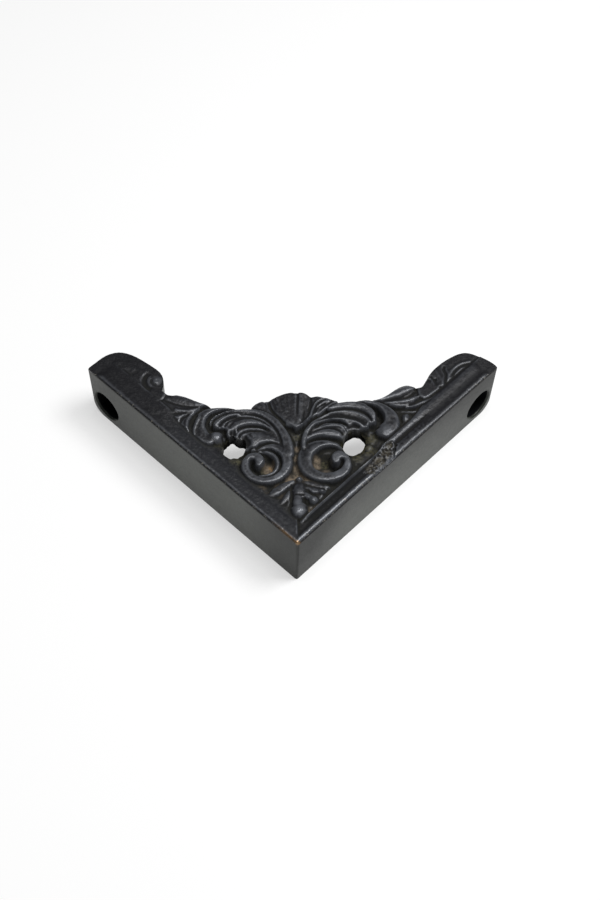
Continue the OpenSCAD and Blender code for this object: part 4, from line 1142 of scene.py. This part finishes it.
# Settings shared by the arithmetic and blending nodes of every finish. A blend takes its share
# as input 0 and its two colours as inputs 6 and 7.
TIMES = {"operation": "MULTIPLY", "use_clamp": True}
TIMES_PLUS = {"operation": "MULTIPLY_ADD", "use_clamp": True}
LESS = {"operation": "SUBTRACT", "use_clamp": True}
LARGER = {"operation": "MAXIMUM", "use_clamp": True}
BLEND = {"data_type": "RGBA"}


def patinated_brass(colours):
    """Cast brass, chemically blackened: a thin dull blue-black skin over the as-cast surface,
    polished thin on the crests, thick and dirty in the cuts, and filed smooth outside. Its colour also
    carries painted highlights on the crests and the right arris, and painted shade in the cuts, the holes,
    the hollow back and toward the ends of the outer faces."""
    material = bpy.data.materials.new("patinated_cast_brass")
    material.use_nodes = True
    tree = material.node_tree
    tree.nodes.clear()
    place = add(tree, "ShaderNodeTexCoord").outputs["Object"]

    # Casting grain: the marks of moulding sand, about 0.25 mm across, drawn at 0.55 mm so that they
    # show. Clouds of patina are 6 mm across, blotches of the rubbed skin 1.6 mm and crumbs of dirt
    # 0.8 mm.
    grain, cloud, patch, crust = (
        add(tree, "ShaderNodeTexNoise", None,
            {"Vector": place, "Scale": 1 / (size_mm * MM), "Detail": detail, "Roughness": rough}
            ).outputs["Fac"]
        for size_mm, detail, rough in ((0.55, 4, 0.65), (6, 3, 0.55), (1.6, 3, 0.6), (0.8, 2, 0.7)))

    rub_and_highlight, patina_and_shade, plain, soil, olive, bare, edge, inner, face_shade = (
        add(tree, "ShaderNodeAttribute", {"attribute_name": name}).outputs["Fac"]
        for name in ("rub_and_highlight", "patina_and_shade", "plain", "soil", "olive", "bare", "edge", "inner", "face_shade"))

    # Colour: the thick skin in the cuts, thin where handled, and the smoother outer faces, with painted
    # shade in the cuts, the holes and toward the ends of the faces, and painted highlights on the crests.
    share = add(tree, "ShaderNodeMath", TIMES, [cloud, 0.55])
    base = add(tree, "ShaderNodeMix", BLEND, {0: share, 6: colours.body, 7: colours.patina_and_shade})
    # Painted shade over thick patina in the cuts, on the walls of the holes and under the right arris.
    base = add(tree, "ShaderNodeMix", BLEND, {0: patina_and_shade, 6: base, 7: colours.patina_and_shade})
    share = add(tree, "ShaderNodeMath", TIMES, [cloud, 0.8])
    share = add(tree, "ShaderNodeMath", TIMES_PLUS, [patch, 0.8, share])
    # Painted highlight over polish on the crests and high spots.
    polish_and_highlight = add(tree, "ShaderNodeMath", TIMES, [rub_and_highlight, share])
    base = add(tree, "ShaderNodeMix", BLEND, {0: polish_and_highlight, 6: base, 7: colours.polish_and_highlight})
    share = add(tree, "ShaderNodeMath", TIMES_PLUS, [cloud, 0.5, -0.05])
    faces = add(tree, "ShaderNodeMix", BLEND, {0: share, 6: colours.faces, 7: colours.body})
    # Painted shade on the outer faces, toward the corner, the ears and the right arris.
    faces = add(tree, "ShaderNodeMix", BLEND, {0: face_shade, 6: faces, 7: colours.patina_and_shade})
    outside = add(tree, "ShaderNodeMath", LESS, [plain, inner])
    base = add(tree, "ShaderNodeMix", BLEND, {0: outside, 6: base, 7: faces})
    # Painted shade in the hollow back and on the walls of the holes.
    share = add(tree, "ShaderNodeMath", TIMES, [inner, 0.8])
    base = add(tree, "ShaderNodeMix", BLEND, {0: share, 6: base, 7: colours.patina_and_shade})

    # Dirt lies over the skin in crumbs; brass shows through where the edges wore bare.
    share = add(tree, "ShaderNodeMath", TIMES_PLUS, [crust, 3.2, -1.0])
    mossy = add(tree, "ShaderNodeMath", TIMES, [olive, share])
    base = add(tree, "ShaderNodeMix", BLEND, {0: mossy, 6: base, 7: colours.olive})
    share = add(tree, "ShaderNodeMath", TIMES_PLUS, [crust, 2.2, -0.3])
    dirty = add(tree, "ShaderNodeMath", TIMES, [soil, share])
    base = add(tree, "ShaderNodeMix", BLEND, {0: dirty, 6: base, 7: colours.soil})
    # Chips along the arrises, with a painted highlight along the right one.
    share = add(tree, "ShaderNodeMath", TIMES_PLUS, [crust, 7.0, -4.0])
    chips_and_highlight = add(tree, "ShaderNodeMath", TIMES, [edge, share])
    base = add(tree, "ShaderNodeMix", BLEND, {0: chips_and_highlight, 6: base, 7: colours.chips_and_highlight})
    share = add(tree, "ShaderNodeMath", TIMES_PLUS, [patch, 3.0, -0.8])
    worn = add(tree, "ShaderNodeMath", TIMES, [bare, share])
    base = add(tree, "ShaderNodeMix", BLEND, {0: worn, 6: base, 7: colours.brass})

    # Sheen: the skin is a little metallic, duller in the cuts and under dirt; toward the ends of the outer
    # faces and on the walls of the holes its reflection is cut down as painted shade.
    dusty = add(tree, "ShaderNodeMath", LARGER, [dirty, mossy])
    dull = add(tree, "ShaderNodeMath", TIMES, [face_shade, outside])
    # Where shade is painted in the hollow and the holes, metal and reflection are taken away too.
    in_shade = add(tree, "ShaderNodeMath", TIMES, [inner, patina_and_shade])
    metal = add(tree, "ShaderNodeMath", TIMES_PLUS, [dusty, -0.25, 0.25])
    metal = add(tree, "ShaderNodeMath", TIMES_PLUS, [worn, 0.75, metal])
    metal = add(tree, "ShaderNodeMath", TIMES_PLUS, [dull, -0.25, metal])
    metal = add(tree, "ShaderNodeMath", LESS, [metal, in_shade])
    shine = add(tree, "ShaderNodeMath", TIMES_PLUS, [in_shade, -0.45, 0.5])
    shine = add(tree, "ShaderNodeMath", TIMES_PLUS, [dull, -0.46, shine])
    rough = add(tree, "ShaderNodeMath", TIMES_PLUS, [grain, 0.2, 0.25])
    for mask, amount in ((patch, 0.12), (rub_and_highlight, -0.1), (patina_and_shade, 0.55), (dusty, 0.4), (outside, -0.02)):
        rough = add(tree, "ShaderNodeMath", TIMES_PLUS, [mask, amount, rough])

    # The grain stands about 0.1 mm high on the cast top, and was filed down outside.
    tooth = add(tree, "ShaderNodeMath", TIMES_PLUS, [outside, -0.8, 1.0])
    relief = add(tree, "ShaderNodeMath", TIMES, [grain, tooth])
    bump = add(tree, "ShaderNodeBump", None, {"Strength": 0.5, "Distance": 0.15 * MM, "Height": relief})
    skin = add(tree, "ShaderNodeBsdfPrincipled", None,
               {"Base Color": base, "Metallic": metal, "Roughness": rough, "Specular IOR Level": shine,
                "Normal": bump})
    add(tree, "ShaderNodeOutputMaterial", None, {"Surface": skin})
    return material


def matt_white_paper(glow):
    """Matt white backdrop paper, pressed without a coating: an even, pale surface with no gloss.
    The glow is the share of pure white that the camera and reflections see in it."""
    material = bpy.data.materials.new("matt_white_paper")
    material.use_nodes = True
    tree = material.node_tree
    tree.nodes.clear()
    path = add(tree, "ShaderNodeLightPath").outputs
    seen = add(tree, "ShaderNodeMath", LARGER, [path["Is Glossy Ray"], path["Is Transmission Ray"]])
    seen = add(tree, "ShaderNodeMath", LARGER, [path["Is Camera Ray"], seen])
    share = add(tree, "ShaderNodeMath", TIMES, [seen, glow])
    matt = add(tree, "ShaderNodeBsdfDiffuse", None, {"Color": srgb("#fafafa")})
    shine = add(tree, "ShaderNodeEmission", None, {"Color": (1, 1, 1), "Strength": 1.0})
    both = add(tree, "ShaderNodeMixShader", None, [share, matt, shine])
    add(tree, "ShaderNodeOutputMaterial", None, {"Surface": both})
    return material


# ---------------------------------------------------------------- stage

FLOOR_SIZE = 30            # m, so that no low view sees past its edge
FLOOR_GAP = 0.1 * MM       # the floor lies just under the back
PAPER_GLOW = 0.5

# The camera looks at a spot on the plane of the back, drawn in mm. It is swung round the part,
# lifted above that plane and rolled, in radians.
CAMERA_SPOT = (2.225, 51.987)
CAMERA_SWING = -0.0502965
CAMERA_LIFT = 0.9549353
CAMERA_ROLL = 0.0352285
CAMERA_REACH = 422.354


def set_floor():
    """A sheet of matt white paper, far larger than the view."""
    deselect_all()
    bpy.ops.mesh.primitive_plane_add(size=FLOOR_SIZE, location=(0, 0, -FLOOR_GAP))
    floor = bpy.context.object
    floor.name = "floor"
    floor.data.materials.append(matt_white_paper(PAPER_GLOW))
    freeze(floor)


def set_sky(scene):
    """A faint even light from all round."""
    world = bpy.data.worlds.new("studio")
    scene.world = world
    world.use_nodes = True
    sky = world.node_tree.nodes["Background"]
    sky.inputs["Color"].default_value = (1, 1, 1, 1)
    sky.inputs["Strength"].default_value = 0.05


def set_soft_box(scene, name, place, size, power):
    """A square soft lamp turned to the bracket."""
    data = bpy.data.lights.new(name, "AREA")
    data.shape = "SQUARE"
    data.size = size
    data.energy = power
    lamp = bpy.data.objects.new(name, data)
    scene.collection.objects.link(lamp)
    lamp.location = place
    lamp.rotation_euler = (Vector((0, 0, 0.01)) - Vector(place)).to_track_quat("-Z", "Y").to_euler()


def set_camera(scene):
    """A short telephoto lens, looking down at the corner."""
    data = bpy.data.cameras.new("camera")
    data.sensor_fit = "VERTICAL"
    data.sensor_height = 36
    data.lens = 48
    data.clip_start = 0.01
    data.clip_end = 20
    level = math.cos(CAMERA_LIFT)
    back = Vector((math.sin(CAMERA_SWING) * level, -math.cos(CAMERA_SWING) * level, math.sin(CAMERA_LIFT)))
    across = (-back).cross(Vector((0, 0, 1))).normalized()
    up = across.cross(-back)
    right = math.cos(CAMERA_ROLL) * across + math.sin(CAMERA_ROLL) * up
    above = -math.sin(CAMERA_ROLL) * across + math.cos(CAMERA_ROLL) * up
    turn = Matrix((right, above, back)).transposed().to_4x4()
    spot = Vector((CAMERA_SPOT[0] * MM, (CAMERA_SPOT[1] - MID_Y) * MM, 0))
    camera = bpy.data.objects.new("camera", data)
    camera.matrix_world = Matrix.Translation(spot + back * CAMERA_REACH * MM) @ turn
    scene.collection.objects.link(camera)
    scene.camera = camera


# ---------------------------------------------------------------- operators

class BRACKET_OT_casting(Operator):
    """Models the casting: blank, carving and patina"""

    bl_idname = "bracket.casting"
    bl_label = "Corner casting"

    def execute(self, context):
        sizes = context.scene.bracket_sizes
        body = plain_body(sizes)
        block, height = carving_block(sizes)
        cut(body, block, "INTERSECT")
        make_active(body)
        bpy.ops.object.mode_set(mode="EDIT")
        bpy.ops.mesh.select_all(action="SELECT")
        bpy.ops.mesh.remove_doubles(threshold=0.004 * MM)
        bpy.ops.object.mode_set(mode="OBJECT")
        body.name = "casting"
        stain(body, height, sizes)
        shade(body)
        body.data.materials.clear()
        body.data.materials.append(patinated_brass(context.scene.patina_colours))
        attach(body, "root")
        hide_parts(NODE)
        return {"FINISHED"}


class BRACKET_OT_stage(Operator):
    """Sets the pale floor, the soft lamps and the camera"""

    bl_idname = "bracket.stage"
    bl_label = "Studio stage"

    def execute(self, context):
        scene = context.scene
        set_floor()
        set_sky(scene)
        set_soft_box(scene, "overhead", (0.02, -0.02, 0.95), 0.4, 4.6)
        set_soft_box(scene, "side", (0.52, 0.1, 0.96), 0.42, 8.2)
        set_camera(scene)
        scene.view_settings.view_transform = "Standard"
        return {"FINISHED"}


class BRACKET_PT_panel(Panel):
    """Lists the steps of the bracket in the sidebar"""

    bl_idname = "BRACKET_PT_panel"
    bl_label = "Cast Corner Bracket"
    bl_space_type = "VIEW_3D"
    bl_region_type = "UI"
    bl_category = "Bracket"

    def draw(self, context):
        layout = self.layout
        for settings in (context.scene.bracket_sizes, context.scene.patina_colours):
            box = layout.box()
            for name in settings.bl_rna.properties.keys():
                if name not in ("rna_type", "name"):
                    box.prop(settings, name)
        layout.operator("bracket.casting")
        layout.operator("bracket.stage")


CLASSES = (BracketSizes, PatinaColours, BRACKET_OT_casting, BRACKET_OT_stage, BRACKET_PT_panel)


def register():
    """Makes the settings, operators and panel known to Blender."""
    for cls in CLASSES:
        bpy.utils.register_class(cls)
    bpy.types.Scene.bracket_sizes = PointerProperty(type=BracketSizes)
    bpy.types.Scene.patina_colours = PointerProperty(type=PatinaColours)


def unregister():
    """Takes them out again."""
    del bpy.types.Scene.patina_colours
    del bpy.types.Scene.bracket_sizes
    for cls in reversed(CLASSES):
        bpy.utils.unregister_class(cls)


def main():
    """Makes the bracket and its stage."""
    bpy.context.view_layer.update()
    register()
    for step in (bpy.ops.bracket.casting, bpy.ops.bracket.stage):
        if step() != {"FINISHED"}:
            raise RuntimeError(f"{step} did not finish")


if __name__ == "__main__":
    main()
